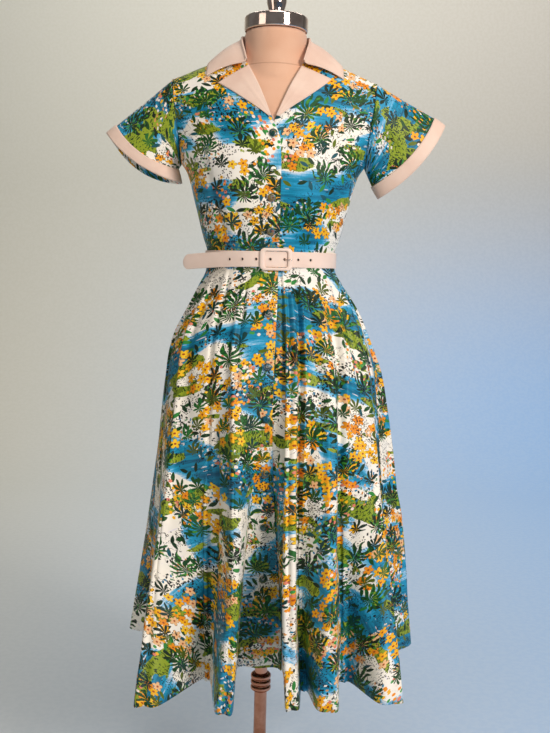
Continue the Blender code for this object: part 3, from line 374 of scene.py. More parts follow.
def share_at(front, x, z):
    """The share of the upper bodice's point at x and z."""
    low, high = 0.0, 1.0
    for _ in range(HALVINGS):
        middle = (low + high) / 2
        if shoulder_point(front, x, middle).z < z:
            low = middle
        else:
            high = middle
    return (low + high) / 2


def on_shoulder(front, x, z, lift):
    """The point of the upper bodice at x and z, moved out by lift."""
    share = share_at(front, x, z)
    here = shoulder_point(front, x, share)
    beside = shoulder_point(front, x + BESIDE, share) - shoulder_point(front, x - BESIDE, share)
    above = shoulder_point(front, x, min(1.0, share + BESIDE)) - shoulder_point(front, x, share - BESIDE)
    out = beside.cross(above).normalized()
    return here + out * (lift if front else -lift)


# ---------------------------------------------------------------- the skirt's surface
def turned_to(degrees):
    """The direction at an angle from the front, towards the viewer's right."""
    return Vector((math.sin(math.radians(degrees)), -math.cos(math.radians(degrees)), 0))


def fold_rings():
    """Three places for each fold: its middle and the two shoulders beside it."""
    waist, middle, hem = [], [], []
    for i, fold in enumerate(FOLDS):
        ridge = i % 2 == 1
        tip = Vector((fold.hem_x, fold.hem_y, 0))
        out = turned_to(fold.faces)
        along = turned_to(fold.faces + 90)
        back = -fold.hem_half * RIDGE_ROUND if ridge else fold.hem_half * VALLEY_ROUND
        for side in (-1, 0, 1):
            waist.append(fold.waist + side * fold.spread)
            middle.append(fold.middle + side * fold.spread * MIDDLE_SPREAD)
            hem.append(tip + along * (side * fold.hem_half) + out * (back * abs(side)))
    return waist, middle, hem


WAIST_RING, MIDDLE_RING, HEM_RING = fold_rings()


def section_at(z, x, y):
    """How wide and deep the skirt is at this height, on the side that x and y lie on."""
    wide = read(SKIRT, "z", "right" if x >= 0 else "left", z)
    deep = read(SKIRT, "z", "front" if y <= 0 else "back", z)
    return wide, deep


def angle_from(ring, at):
    """An angle of the ring of folds, unwrapped so that it runs on past a full turn."""
    turns = len(ring)
    unwrapped = [value - (360 if value > 340 and i < 3 else 0) for i, value in enumerate(ring)]
    i = math.floor(at)
    a, b, c, d = (unwrapped[(i + k) % turns] + 360 * ((i + k) // turns) for k in (-1, 0, 1, 2))
    return between(a, b, c, d, at - i)


def skirt_point(at, z):
    """A point of the skirt: at counts folds from the centre front."""
    ring_at = at * 3 + 1
    drop = (WAIST_Z - z) / (WAIST_Z - HEM_Z)
    hem = round_ring(HEM_RING, ring_at)
    wide, deep = section_at(HEM_Z, hem.x, hem.y)
    hem_angle = math.degrees(math.atan2(hem.x / wide, -hem.y / deep))
    ratio = math.hypot(hem.x / wide, hem.y / deep)
    waist_angle = angle_from(WAIST_RING, ring_at)
    middle_angle = angle_from(MIDDLE_RING, ring_at)
    hem_angle += 360 * round((waist_angle - hem_angle) / 360)
    angle = (
        waist_angle * (1 - drop) * (1 - 2 * drop)
        + middle_angle * 4 * drop * (1 - drop)
        + hem_angle * drop * (2 * drop - 1)
    )
    low = math.floor(at)
    fold, after = FOLDS[low % len(FOLDS)], FOLDS[(low + 1) % len(FOLDS)]
    starts = lerp(fold.starts, after.starts, smooth(at - low))
    power = lerp(fold.power, after.power, smooth(at - low))
    grown = max(0.0, (drop - starts) / (1 - starts)) ** power
    out = 1 + (ratio - 1) * grown
    direction = turned_to(angle)
    wide, deep = section_at(z, direction.x, direction.y)
    return Vector((direction.x * wide * out, direction.y * deep * out, z))

# ---------------------------------------------------------------- building cloth
Cloth = namedtuple("Cloth", "piece points outs")  # its outer face, as a grid of points and directions out


def line_inside(made, edge, inset):
    """Points and directions out along a line that lies inset from one edge of the cloth."""
    rows = [list(zip(*pair)) for pair in zip(made.points, made.outs)]
    if edge in ("first", "last"):
        rows = list(zip(*rows))
    if edge in ("bottom", "last"):
        rows = rows[::-1]
    line = []
    for column in zip(*rows):
        gone = 0.0
        for (here, out), (there, out_there) in zip(column, column[1:]):
            step = (there - here).length
            if gone + step >= inset:
                t = (inset - gone) / step
                line.append((here.lerp(there, t), out.lerp(out_there, t).normalized()))
                break
            gone += step
    return line


def keep(piece, node):
    """The piece stands for the CAD node, which is hidden, and hangs under the root."""
    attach(piece, "root")
    if node:
        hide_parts(node)
    return piece


def add_piece(name, points, faces, look, spots=None):
    """An object of these faces; spots places each of their corners on the flat cloth."""
    mesh = bpy.data.meshes.new(name)
    mesh.from_pydata(points, [], faces)
    if spots:
        layer = mesh.uv_layers.new(name="cloth")
        layer.data.foreach_set("uv", [value for spot in spots for value in spot])
    piece = bpy.data.objects.new(name, mesh)
    bpy.context.scene.collection.objects.link(piece)
    mesh.materials.append(look)
    mesh.shade_smooth()
    return piece


def faced_out(piece):
    """The closed piece, its faces turned to look outwards."""
    if sum(face.center.dot(face.normal) * face.area for face in piece.data.polygons) < 0:
        piece.data.flip_normals()
    return piece


def normals(mesh):
    return [vertex.normal.copy() for vertex in mesh.vertices]


def running(points):
    """The length gone at each point."""
    run = [0.0]
    for here, there in zip(points, points[1:]):
        run.append(run[-1] + (there - here).length)
    return run


def lengths_across(rows, closed, start):
    """Each row's length run from column start; a closed row ends with its whole length round."""
    runs = [running(list(row) + ([row[0]] if closed else [])) for row in rows]
    return [[value - run[start] for value in run] for run in runs]


def flat_places(rows, closed, start, fan, shift):
    """Where each point lies on the flat cloth, in metres; fan lays a flared panel out round a centre."""
    across = lengths_across(rows, closed, start)
    drops = [sum(row) / len(row) for row in zip(*[running(column) for column in zip(*rows)])]
    top, bottom = across[0][-1] - across[0][0], across[-1][-1] - across[-1][0]
    places = []
    for row, drop in zip(across, drops):
        if fan:
            radius = drops[-1] * top / (bottom - top) + drop
            spots = [(radius * math.sin(x / radius), -radius * math.cos(x / radius)) for x in row]
        else:
            spots = [(x, -drop) for x in row]
        places.append([(x + shift[0], y + shift[1]) for x, y in spots])
    return places


def cloth(node, look, rows, wall=WALL, gap=SEAM_GAP, top_gap=SEAM_GAP, inside=None, closed=False,
          fan=False, start=0, shift=(0.0, 0.0), move=None):
    """A shell whose outer face runs through rows, each point then moved out by move(row, column)."""
    if gap:
        rows = with_borders_in(rows, gap / 2, top_gap / 2)
    places = flat_places(rows, closed, start, fan, shift)
    width = len(rows[0])
    faces, corners, facing = [], [], 0.0
    for i in range(len(rows) - 1):
        for k in range(width if closed else width - 1):
            n = (k + 1) % width
            faces.append([i * width + k, (i + 1) * width + k, (i + 1) * width + n, i * width + n])
            corners.append([places[i][k], places[i + 1][k], places[i + 1][k + 1], places[i][k + 1]])
            a, b, c, d = rows[i][k], rows[i + 1][k], rows[i + 1][n], rows[i][n]
            middle = (a + b + c + d) / 4 - (inside or Vector())
            if inside is None:
                middle.z = 0
            facing += (c - a).cross(d - b).dot(middle)
    if facing < 0:
        faces, corners = [face[::-1] for face in faces], [four[::-1] for four in corners]
    points = [point for row in rows for point in row]
    piece = add_piece(f"cloth_{node}", points, faces, look, [spot for four in corners for spot in four])
    if move:
        for i, out in enumerate(normals(piece.data)):
            piece.data.vertices[i].co += out * move(*divmod(i, width))
        piece.data.update()
    grids = [vertex.co.copy() for vertex in piece.data.vertices], normals(piece.data)
    shell = piece.modifiers.new("wall", "SOLIDIFY")
    shell.thickness, shell.offset = wall, -1
    keep(piece, node)
    return Cloth(piece, *([grid[i * width : (i + 1) * width] for i in range(len(rows))] for grid in grids))


def with_borders_in(rows, amount, top_amount):
    """The rows, with each border moved inwards by half a seam's gap."""
    rows = [[point.copy() for point in row] for row in rows]
    moves = []
    for edge, inner in ((0, 1), (-1, -2)):
        across = top_amount if edge == 0 else amount
        moves += [(rows[edge], k, rows[inner][k] - rows[edge][k], across) for k in range(len(rows[0]))]
        moves += [(row, edge, row[inner] - row[edge], amount) for row in rows]
    for row, k, towards, far in moves:
        row[k] = row[k] + towards.normalized() * far
    return rows


CREASE_START, CREASE_END = 0.7, 1.3  # shares of its half width where a crease starts and ends
CREASE_RISES, CREASE_FADES = 0.2, 0.35  # shares of its length


def creased(creases, place, z, unit=1.0):
    """How far the creases move a point outwards; unit is metres for one of place."""
    out = 0.0
    for crease in creases:
        t = (crease.from_z - z) / (crease.from_z - crease.to_z)
        if not 0 < t < 1:
            continue
        centre = lerp(crease.from_place, crease.to_place, t) + crease.bow * math.sin(math.pi * t)
        x = abs(place - centre) * unit / (crease.half_mm / 1000 * lerp(CREASE_START, CREASE_END, t))
        if x < 1:
            ends = smooth(t / CREASE_RISES) * smooth((1 - t) / CREASE_FADES)
            out += crease.rise_mm / 1000 * (1 + math.cos(math.pi * x)) / 2 * ends
    return out


# ---------------------------------------------------------------- creases
# Soft ridges (rise_mm above 0) and troughs, each from one place and height to another.
CREASE = "from_place from_z to_place to_z half_mm rise_mm bow"
# On the skirt a place is counted in folds.
SKIRT_CREASES = table(
    CREASE,
    [
        (-4.35, 1.062, -4.1, 0.8, 11, 2.2, 0.05), (-4.1, 1.06, -3.75, 0.64, 12, -2.4, 0.06),
        (-3.55, 1.061, -3.3, 0.88, 8, -2, 0), (-3.05, 1.062, -3.0, 0.42, 20, 3.4, 0.08),
        (-2.7, 1.06, -2.45, 0.7, 10, -2.2, -0.04), (-2.3, 1.061, -2.35, 0.93, 8, 1.8, 0),
        (-1.95, 1.06, -1.8, 0.56, 13, -2.8, 0.05), (-1.55, 1.062, -1.62, 0.84, 9, 2, -0.03),
        (-1.25, 1.061, -1.2, 0.45, 12, 2.6, 0), (-0.85, 1.06, -0.88, 0.76, 8, -2, 0.02),
        (-0.6, 1.058, -0.6, 0.94, 6, 1.2, 0), (-1.0, 0.9, -1.0, 0.31, 8, 3.6, 0),
        (-1.55, 0.86, -1.62, 0.305, 10, -5.6, 0), (0.58, 1.045, 0.6, 0.305, 8, -5, 0),
        (1.3, 1.05, 1.2, 0.305, 8, 4, 0), (1.95, 1.058, 1.9, 0.305, 8, -6, 0),
        (2.95, 1.04, 2.95, 0.31, 9, 4.2, 0), (3.75, 1.05, 3.85, 0.31, 12, -4.4, 0),
        (0.52, 1.06, 0.62, 0.9, 7, -1.6, 0), (0.74, 1.061, 0.8, 0.62, 9, 2.2, 0.03),
        (1.05, 1.06, 1.12, 0.8, 8, -2.2, 0), (1.45, 1.062, 1.42, 0.42, 10, 2.6, 0.04),
        (1.75, 1.061, 1.82, 0.86, 8, -2.2, 0), (2.15, 1.062, 2.28, 0.52, 12, 3, 0.05),
        (2.6, 1.06, 2.7, 0.72, 9, -2.4, -0.03), (3.1, 1.062, 3.3, 0.56, 13, 3, 0.05),
        (3.5, 1.06, 3.6, 0.9, 8, -2.2, 0), (4.05, 1.061, 4.3, 0.48, 14, 2.8, -0.05),
        (4.5, 1.06, 4.62, 0.78, 10, -2.6, 0.04), (5.2, 1.06, 5.3, 0.62, 14, 3, 0),
        (5.75, 1.062, 5.8, 0.84, 9, -2.2, 0), (6.9, 1.061, 6.8, 0.56, 12, 2.8, 0.05),
        (7.4, 1.06, 7.5, 0.86, 9, -2.4, 0), (8.1, 1.06, 8.25, 0.5, 13, 3, -0.05),
        (8.7, 1.062, 8.6, 0.74, 10, -2.4, 0), (9.3, 1.06, 9.4, 0.9, 8, 2, 0),
        (9.85, 1.061, 9.9, 0.45, 12, -2.6, 0.04), (10.55, 1.06, 10.5, 0.82, 9, 2.2, 0),
        (11.4, 1.06, 11.3, 0.6, 11, 2.6, 0), (12.0, 1.061, 12.1, 0.88, 8, -2.2, 0),
        (12.55, 1.06, 12.7, 0.48, 13, 2.8, 0.05), (13.3, 1.062, 13.2, 0.78, 10, -2.4, 0),
        (13.95, 1.06, 14.1, 0.54, 12, 2.8, -0.04), (14.8, 1.06, 14.9, 0.84, 10, -2.2, 0),
        (-2.6, 0.7, -2.4, 0.34, 22, 3, 0.1), (-3.6, 0.62, -3.3, 0.33, 18, -2.6, 0),
        (0.7, 0.56, 0.66, 0.32, 14, 2.4, 0), (2.55, 0.6, 2.6, 0.33, 16, -2.8, 0.05),
        (3.5, 0.56, 3.42, 0.33, 18, 3, 0), (4.6, 0.64, 4.7, 0.34, 18, -2.6, 0),
        (7.3, 0.64, 7.4, 0.33, 18, 3, 0), (9.5, 0.6, 9.4, 0.33, 18, -2.8, 0),
        (12.4, 0.62, 12.5, 0.33, 18, 3, 0), (14.4, 0.56, 14.3, 0.34, 18, -2.6, 0),
    ],
)
# On the bodice a place is x. These serve both fronts.
FRONT_CREASES = table(
    CREASE,
    [
        (-0.135, 1.29, -0.085, 1.1, 12, -2, 0.004), (-0.15, 1.235, -0.105, 1.096, 10, 1.6, 0),
        (-0.108, 1.205, -0.078, 1.098, 8, -2.2, 0), (-0.086, 1.19, -0.062, 1.097, 8, 1.8, 0),
        (-0.062, 1.165, -0.05, 1.098, 6, -2, 0), (-0.042, 1.15, -0.034, 1.098, 6, 1.2, 0),
        (-0.118, 1.33, -0.15, 1.255, 11, -1.8, 0), (-0.06, 1.3, -0.03, 1.24, 9, -1.2, 0),
        (0.124, 1.255, 0.1, 1.097, 9, -2.2, 0), (0.146, 1.24, 0.118, 1.1, 11, 1.8, 0),
        (0.092, 1.2, 0.074, 1.097, 8, 1.6, 0.003), (0.074, 1.18, 0.058, 1.097, 7, -2.2, 0),
        (0.052, 1.16, 0.044, 1.098, 6, 1.4, 0), (0.12, 1.335, 0.146, 1.262, 10, -1.8, 0),
        (0.066, 1.3, 0.04, 1.245, 9, -1.2, 0), (0.152, 1.3, 0.128, 1.215, 9, 1.4, 0),
    ],
)
BACK_CREASES = table(
    CREASE,
    [
        (-0.12, 1.3, -0.095, 1.098, 12, -2, 0.005), (-0.08, 1.21, -0.066, 1.098, 8, -2.4, 0),
        (-0.052, 1.165, -0.044, 1.098, 7, 1.6, 0), (-0.016, 1.19, -0.012, 1.1, 10, -1.4, 0),
        (0.018, 1.16, 0.014, 1.099, 8, 1.4, 0), (0.056, 1.18, 0.046, 1.098, 7, 1.6, 0),
        (0.082, 1.22, 0.068, 1.098, 8, -2.4, 0), (0.125, 1.29, 0.098, 1.099, 12, -1.8, -0.005),
        (-0.14, 1.36, -0.11, 1.26, 12, -1.6, 0), (0.138, 1.365, 0.112, 1.255, 13, -1.6, 0),
    ],
)
# On a sleeve a place runs 0 to 16 round it from the top by the front, and z is 1 to 0 down it.
SLEEVE_CREASES = table(
    CREASE,
    [
        (0.6, 1.0, 1.6, 0.2, 10, -1.8, 0.2), (2.4, 1.0, 3.4, 0.3, 10, 1.6, 0),
        (4.2, 0.98, 4.4, 0.1, 12, -2.4, 0.3), (6.0, 0.95, 5.6, 0.15, 11, 2, 0),
        (7.2, 0.9, 6.8, 0.3, 8, -1.6, 0), (9.6, 0.95, 9.2, 0.2, 10, -1.8, 0),
        (11.4, 1.0, 11.0, 0.1, 12, 2.2, 0.3), (13.2, 1.0, 13.0, 0.25, 11, -2, 0),
        (15.0, 1.0, 14.4, 0.35, 9, 1.4, 0),
    ],
)
HEM_TURN, HEM_FADE = 0.022, 0.0005  # the hem's depth, and how far the cloth dips past its stitches
SKIRT_DEPTH = 1.75  # how much deeper the skirt's creases are than their table says


# ---------------------------------------------------------------- looks
def tone(hex_digits):
    """A colour from its sRGB digits."""
    made = []
    for k in (0, 2, 4):
        value = int(hex_digits[k : k + 2], 16) / 255
        made.append(value / 12.92 if value <= 0.04045 else ((value + 0.055) / 1.055) ** 2.4)
    return (*made, 1.0)


class Look:
    """A material and short ways to add nodes to it."""

    def __init__(self, name):
        self.material = bpy.data.materials.new(name)
        self.material.use_nodes = True
        self.tree = self.material.node_tree
        self.shader = self.tree.nodes["Principled BSDF"]

    def put(self, socket, value):
        if isinstance(value, bpy.types.NodeSocket):
            self.tree.links.new(value, socket)
        else:
            socket.default_value = value

    def add(self, kind, inputs, output=0, **settings):
        """One output of a new node, or all of them where output is None."""
        node = self.tree.nodes.new("ShaderNode" + kind)
        for key, value in settings.items():
            setattr(node, key, value)
        for key, value in inputs.items():
            self.put(node.inputs[key], value)
        return node.outputs if output is None else node.outputs[output]

    def math(self, operation, a, b=0.0, c=0.0):
        return self.add("Math", {0: a, 1: b, 2: c}, operation=operation)

    def plus(self, a, b):
        return self.math("ADD", a, b)

    def minus(self, a, b):
        return self.math("SUBTRACT", a, b)

    def times(self, a, b):
        return self.math("MULTIPLY", a, b)

    def above(self, value, limit):
        return self.math("GREATER_THAN", value, limit)

    def below(self, value, limit):
        return self.math("LESS_THAN", value, limit)

    def size(self, value):
        return self.math("ABSOLUTE", value)

    def scaled(self, value, factor, more):
        return self.math("MULTIPLY_ADD", value, factor, more)

    def vector(self, operation, a, b=(0.0, 0.0, 0.0)):
        return self.add("VectorMath", {0: a, 1: b}, operation=operation)

    def mix(self, share, a, b):
        a, b = (tone(colour) if isinstance(colour, str) else colour for colour in (a, b))
        return self.add("Mix", {0: share, 6: a, 7: b}, 2, data_type="RGBA")

    def noise(self, place, scale, detail=2.0, roughness=0.5, distortion=0.0):
        inputs = dict(Vector=place, Scale=scale, Detail=detail, Roughness=roughness, Distortion=distortion)
        return self.add("TexNoise", inputs, noise_dimensions="3D")

    def wave(self, place, scale, distortion, direction, fine=1.0):
        inputs = {"Vector": place, "Scale": scale, "Distortion": distortion, "Detail Scale": fine}
        return self.add("TexWave", inputs, 1, bands_direction=direction)

    def between(self, value, low, high, to_low=0.0, to_high=1.0):
        inputs = {0: value, 1: low, 2: high, 3: to_low, 4: to_high}
        return self.add("MapRange", inputs, interpolation_type="SMOOTHSTEP")

    def pick(self, share, colours, soft=False):
        """One of the colours by share, or a blend along them."""
        picked = self.add("ValToRGB", {0: share})
        ramp, colours = picked.node.color_ramp, colours.split()
        ramp.interpolation = "LINEAR" if soft else "CONSTANT"
        while len(ramp.elements) < len(colours):
            ramp.elements.new(0.5)
        for i, colour in enumerate(colours):
            ramp.elements[i].position = i / (len(colours) - 1 if soft else len(colours))
            ramp.elements[i].color = tone(colour)
        return picked

    def stretched(self, place, x, y, shift=(0.0, 0.0, 0.0)):
        return self.vector("MULTIPLY", self.vector("ADD", place, shift), (x, y, 1.0))

    def cloth_place(self):
        return self.add("UVMap", {}, uv_map="cloth")

    def object_place(self):
        return self.add("TexCoord", {}, "Object")

    def bump(self, height, distance, strength=1.0, under=None):
        inputs = {"Height": height, "Distance": distance, "Strength": strength}
        if under is not None:
            inputs["Normal"] = under
        return self.add("Bump", inputs)

    def done(self, **values):
        """The material, with these inputs of its shader set."""
        for key, value in values.items():
            self.put(self.shader.inputs[key.replace("_", " ")], value)
        return self.material


def weave(look, place, pitch, under=None):
    """The crossing threads of a plain weave, as a bump."""
    scale = ROUND / (20 * pitch)
    threads = look.plus(*(look.wave(place, scale, 1.2, direction, 2.0) for direction in "XY"))
    slub = look.noise(look.stretched(place, 160, 1400), 1.0, 1.0)
    return look.bump(look.plus(threads, slub), 0.00007, 0.55, under)


class Motif:
    """Scattered cells over the cloth: each has a middle, a turn and three random numbers."""

    def __init__(self, look, place, scale, randomness, shift=(0.0, 0.0, 0.0)):
        self.look = look
        self.spot = look.vector("ADD", place, shift)
        inputs = {"Vector": self.spot, "Scale": scale, "Randomness": randomness}
        cells = look.add("TexVoronoi", inputs, None, voronoi_dimensions="2D", feature="F1")
        self.middle = cells["Position"]
        self.first, self.second, self.third = look.add("SeparateColor", {0: cells["Color"]}, None)[:3]
        offset = look.vector("SUBTRACT", self.spot, self.middle)
        turn = {"Vector": offset, "Angle": look.times(self.first, ROUND)}
        turned_place = look.add("VectorRotate", turn, rotation_type="Z_AXIS")
        self.x, self.y = look.add("SeparateXYZ", {0: turned_place}, None)[:2]
        plain = look.add("SeparateXYZ", {0: offset}, None)
        self.heading = look.math("ARCTAN2", plain[1], plain[0])
        self.radius = look.add("VectorMath", {0: turned_place}, "Value", operation="LENGTH")
        self.angle = look.math("ARCTAN2", self.y, self.x)

    def kept(self, scale, limit, shift):
        """1 where the whole motif is kept, by a slow field read at its middle."""
        field = self.look.noise(self.look.vector("ADD", self.middle, shift), scale, 1.0)
        return self.look.above(field, limit)

    def dot(self, radius):
        return self.look.below(self.radius, radius)

    def lobes(self, angle, count):
        """1 at the middle of each of so many lobes round the motif, down to 0 between them."""
        return self.look.size(self.look.math("COSINE", self.look.times(angle, count / 2)))

    def petals(self, count, reach, waist):
        """1 inside a flower of so many petals."""
        edge = self.look.scaled(self.lobes(self.angle, count), reach * (1 - waist), reach * waist)
        return self.look.below(self.radius, edge)

    def blades(self, count, reach, power, thin):
        """1 inside a spray of pointed, bent leaves; thin is how narrow they start."""
        look = self.look
        bent = look.scaled(self.radius, look.scaled(self.second, 36.0, -18.0), self.angle)
        bent = look.scaled(look.noise(self.spot, 38, 1.0), 1.3, bent)
        upright = look.math("COSINE", look.minus(self.heading, math.pi / 2))
        longer = look.scaled(upright, reach * 0.36, reach * 0.70)
        gone = look.math("POWER", look.math("DIVIDE", self.radius, longer), power)
        return look.above(self.lobes(bent, count), look.scaled(gone, 1.01 - thin, thin))

    def leaf(self, half_length, half_width):
        """1 inside one pointed leaf."""
        look = self.look
        along = look.math("POWER", look.math("DIVIDE", self.x, half_length), 2.0)
        return look.below(look.plus(along, look.math("DIVIDE", look.size(self.y), half_width)), 1.0)


SEA = "D4E4F2 7CC0E4 229ECC 088EB6 05789C 03587A"
GRASS = "66760C 3E5C0C 8FA326 0C3A12 66760C"
INK = "04140F"
DAB_COLOURS = f"{INK} EFE6DC 107FAA {INK} 6F9A70 D99A5A {INK}"
LEAF_GREENS = "084818 042812 2C863A 06525E 5C6E0E 053418"
PETALS = "F6B70C EE9310 F8C92A F6AC0A F1C08A F6B70C"
BERRIES = "F6B70C E2846C F6E8DC EE9310 3E9A48"
BURST_GREENS = "064018 042C12 0A5020 03200E 064018"
SPRIG_GREENS = "042812 084818 053A38 20682A 4A5C0A"


def printed(name, shift=(0.0, 0.0, 0.0), gloss=0.42, darken=0.0, coat=0.0):
    """The print: brushed blue and green washes, leaf bursts, small blossoms, dabs and ink."""
    look = Look(name)
    place = look.vector("ADD", look.cloth_place(), shift)
    ragged = look.times(look.noise(place, 330, 3.0, 0.6), 0.05)
    strokes = look.noise(look.stretched(place, 14, 170), 1.0, 2.0, 0.6, 0.5)
    colour = look.mix(look.between(look.noise(place, 14, 2.0), 0.35, 0.7), "FFFAEC", "F4F2EA")

    def lay(over, share, also=None):
        """Print a colour where the share is 1, and the other one too."""
        nonlocal colour
        colour = look.mix(share if also is None else look.times(share, also), colour, over)

    field = look.plus(look.noise(look.stretched(place, 6.5, 11), 1.0, 1.0), ragged)
    brushed = look.between(strokes, 0.35, 0.7, -0.12, 0.25)
    depth = look.plus(look.between(field, 0.49, 0.64, 0.0, 0.75), brushed)
    lay(look.pick(depth, SEA, soft=True), look.between(field, 0.512, 0.520))
    streak = look.noise(look.stretched(place, 30, 260, (1.1, 5.2, 0.0)), 1.0, 1.0)
    lay("EAE6EC", look.above(streak, 0.70), 0.85)

    meadow = look.plus(look.noise(look.stretched(place, 9, 24, (7.3, 4.9, 0.0)), 1.0, 2.0), ragged)
    lay(look.pick(look.noise(look.stretched(place, 240, 110), 1.0, 2.0), GRASS), look.above(meadow, 0.615))

    bricks = Motif(look, place, 145, 0.7, (1.3, 2.2, 0.0))
    dab = look.below(look.math("MAXIMUM", look.size(bricks.x), look.times(look.size(bricks.y), 1.7)), 0.0025)
    lay(look.pick(bricks.second, DAB_COLOURS), dab, bricks.kept(12, 0.555, (5.5, 0.3, 0.0)))
    line = look.below(look.size(look.minus(look.noise(place, 55, 2.0, 0.55, 1.2), 0.5)), 0.011)
    lay(INK, line, look.above(look.noise(place, 15, 1.0), 0.47))

    small = Motif(look, place, 50, 0.95, (0.7, 9.2, 0.0))
    in_leaf = small.kept(11, 0.50, (2.0, 8.0, 0.0))
    lay(look.pick(small.second, LEAF_GREENS), small.leaf(0.0098, 0.0034), in_leaf)
    flowers = Motif(look, place, 54, 0.85, (4.1, 0.6, 0.0))
    in_bloom = flowers.kept(10, 0.535, (9.0, 3.0, 0.0))
    lay("6A4A12", flowers.petals(5, 0.0098, 0.48), in_bloom)
    lay(look.pick(flowers.second, PETALS), flowers.petals(5, 0.0090, 0.46), in_bloom)
    lay("A8480C", flowers.dot(0.0019), in_bloom)
    dabs = Motif(look, place, 105, 1.0, (6.4, 5.5, 0.0))
    lay(look.pick(dabs.second, BERRIES), dabs.dot(0.0029), dabs.kept(11, 0.59, (1.0, 6.0, 0.0)))

    bursts = Motif(look, place, 14.5, 0.80, (2.9, 7.7, 0.0))
    light_side = look.above(look.noise(place, 150, 2.0), 0.57)
    shade = look.mix(light_side, look.pick(bursts.second, BURST_GREENS), "3C8A2E")
    lay(shade, bursts.blades(12, 0.036, 1.6, 0.22), look.above(bursts.third, 0.34))
    sprigs = Motif(look, place, 25, 0.95, (8.8, 2.1, 0.0))
    sprig = look.pick(sprigs.second, SPRIG_GREENS)
    lay(sprig, sprigs.blades(8, 0.020, 1.4, 0.20), look.above(sprigs.third, 0.55))
    specks = Motif(look, place, 210, 1.0)
    lay(INK, specks.dot(0.0011), specks.kept(18, 0.58, (3.0, 3.0, 0.0)))

    lay("D8CCC4", look.between(look.noise(place, 5, 3.0), 0.3, 0.7, 0.0, 0.02))
    if darken:
        lay("06363C", darken)
    ripple = look.bump(look.noise(look.stretched(place, 30, 8), 1.0, 3.0), 0.0026, 0.6)
    return look.done(
        Base_Color=colour,
        Roughness=look.between(look.noise(place, 30, 3.0), 0.2, 0.8, gloss - 0.05, gloss + 0.10),
        Normal=weave(look, place, 0.0007, ripple),
        Sheen_Weight=0.02,
        Sheen_Roughness=0.4,
        Coat_Weight=coat,
        Specular_IOR_Level=0.26,
    )


def plain_cotton(name, light, dark, roughness, wrinkle, pitch=0.0006):
    look = Look(name)
    place = look.cloth_place()
    colour = look.mix(look.between(look.noise(place, 9, 4.0, 0.6), 0.35, 0.75), light, dark)
    yarn = look.noise(look.stretched(place, 1300, 420), 1.0, 1.0)
    ripple = look.bump(look.noise(look.stretched(place, 22, 48), 1.0, 3.0, 0.55), wrinkle, 0.6)
    return look.done(
        Base_Color=look.mix(look.between(yarn, 0.25, 0.8, 0.0, 0.14), colour, dark),
        Roughness=look.between(look.noise(place, 60, 2.0), 0.2, 0.8, roughness - 0.05, roughness + 0.1),
        Normal=weave(look, place, pitch, ripple),
        Sheen_Weight=0.20,
        Sheen_Roughness=0.5,
        Subsurface_Weight=0.04,
        Subsurface_Radius=(0.004, 0.003, 0.002),
    )


NECK_SEAM_Z = 1.427


def knitted(name):
    """The form's fine jersey cover."""
    look = Look(name)
    place = look.object_place()
    tint = look.noise(place, 7, 3.0, 0.6)
    colour = look.mix(look.between(tint, 0.3, 0.7), "E2B698", "D8A585")
    knit = look.times(look.wave(place, 330.0, 0.8, "X"), look.wave(place, 260.0, 1.5, "Z"))
    pill = look.noise(place, 700, 3.0)
    colour = look.mix(look.between(pill, 0.55, 0.85, 0.0, 0.25), colour, "F6D8BC")
    level = look.add("SeparateXYZ", {0: place}, 2)
    seam = look.between(look.size(look.minus(level, NECK_SEAM_Z)), 0.0004, 0.0016, 1.0, 0.0)
    height = look.minus(look.plus(knit, look.times(pill, 0.6)), look.times(seam, 4.0))
    return look.done(
        Base_Color=look.mix(look.times(seam, 0.30), colour, "8A5E42"),
        Roughness=look.between(tint, 0.2, 0.8, 0.78, 0.92),
        Normal=look.bump(height, 0.00016, 0.6),
        Sheen_Weight=0.4,
        Sheen_Roughness=0.55,
    )


def polished(name, bright, dull, roughness, worn):
    look = Look(name)
    place = look.object_place()
    cloud = look.noise(place, 24, 4.0, 0.6)
    scratch = look.noise(look.vector("MULTIPLY", place, (900.0, 900.0, 40.0)), 1.0, 2.0)
    prints = look.times(look.between(look.noise(place, 60, 5.0, 0.65, 0.8), 0.55, 0.75), worn)
    return look.done(
        Base_Color=look.mix(look.between(cloud, 0.3, 0.75), bright, dull),
        Metallic=1.0,
        Roughness=look.plus(look.between(cloud, 0.3, 0.8, roughness, roughness + worn), prints),
        Normal=look.bump(scratch, 0.00002, 0.35),
    )


# Glossy enamel for the eyelets, and the near-black painted shade inside the belt's holes.
def enamel_and_painted_shade(name, light, dark):
    look = Look(name)
    # One noise gives wear on the eyelets and uneven tone in the painted hole shade.
    worn = look.noise(look.object_place(), 300, 3.0)
    return look.done(
        Base_Color=look.mix(look.between(worn, 0.3, 0.8), light, dark),
        Roughness=look.between(worn, 0.2, 0.8, 0.22, 0.4),
        Normal=look.bump(worn, 0.00004, 0.4),
        Coat_Weight=0.2,
    )


def threads(name, light, dark):
    look = Look(name)
    twist = look.wave(look.object_place(), 420.0, 2.0, "DIAGONAL")
    return look.done(
        Base_Color=look.mix(look.between(twist, 0.2, 0.8), light, dark),
        Roughness=look.between(twist, 0.2, 0.8, 0.45, 0.65),
        Normal=look.bump(twist, 0.00008, 0.6),
        Sheen_Weight=0.3,
    )


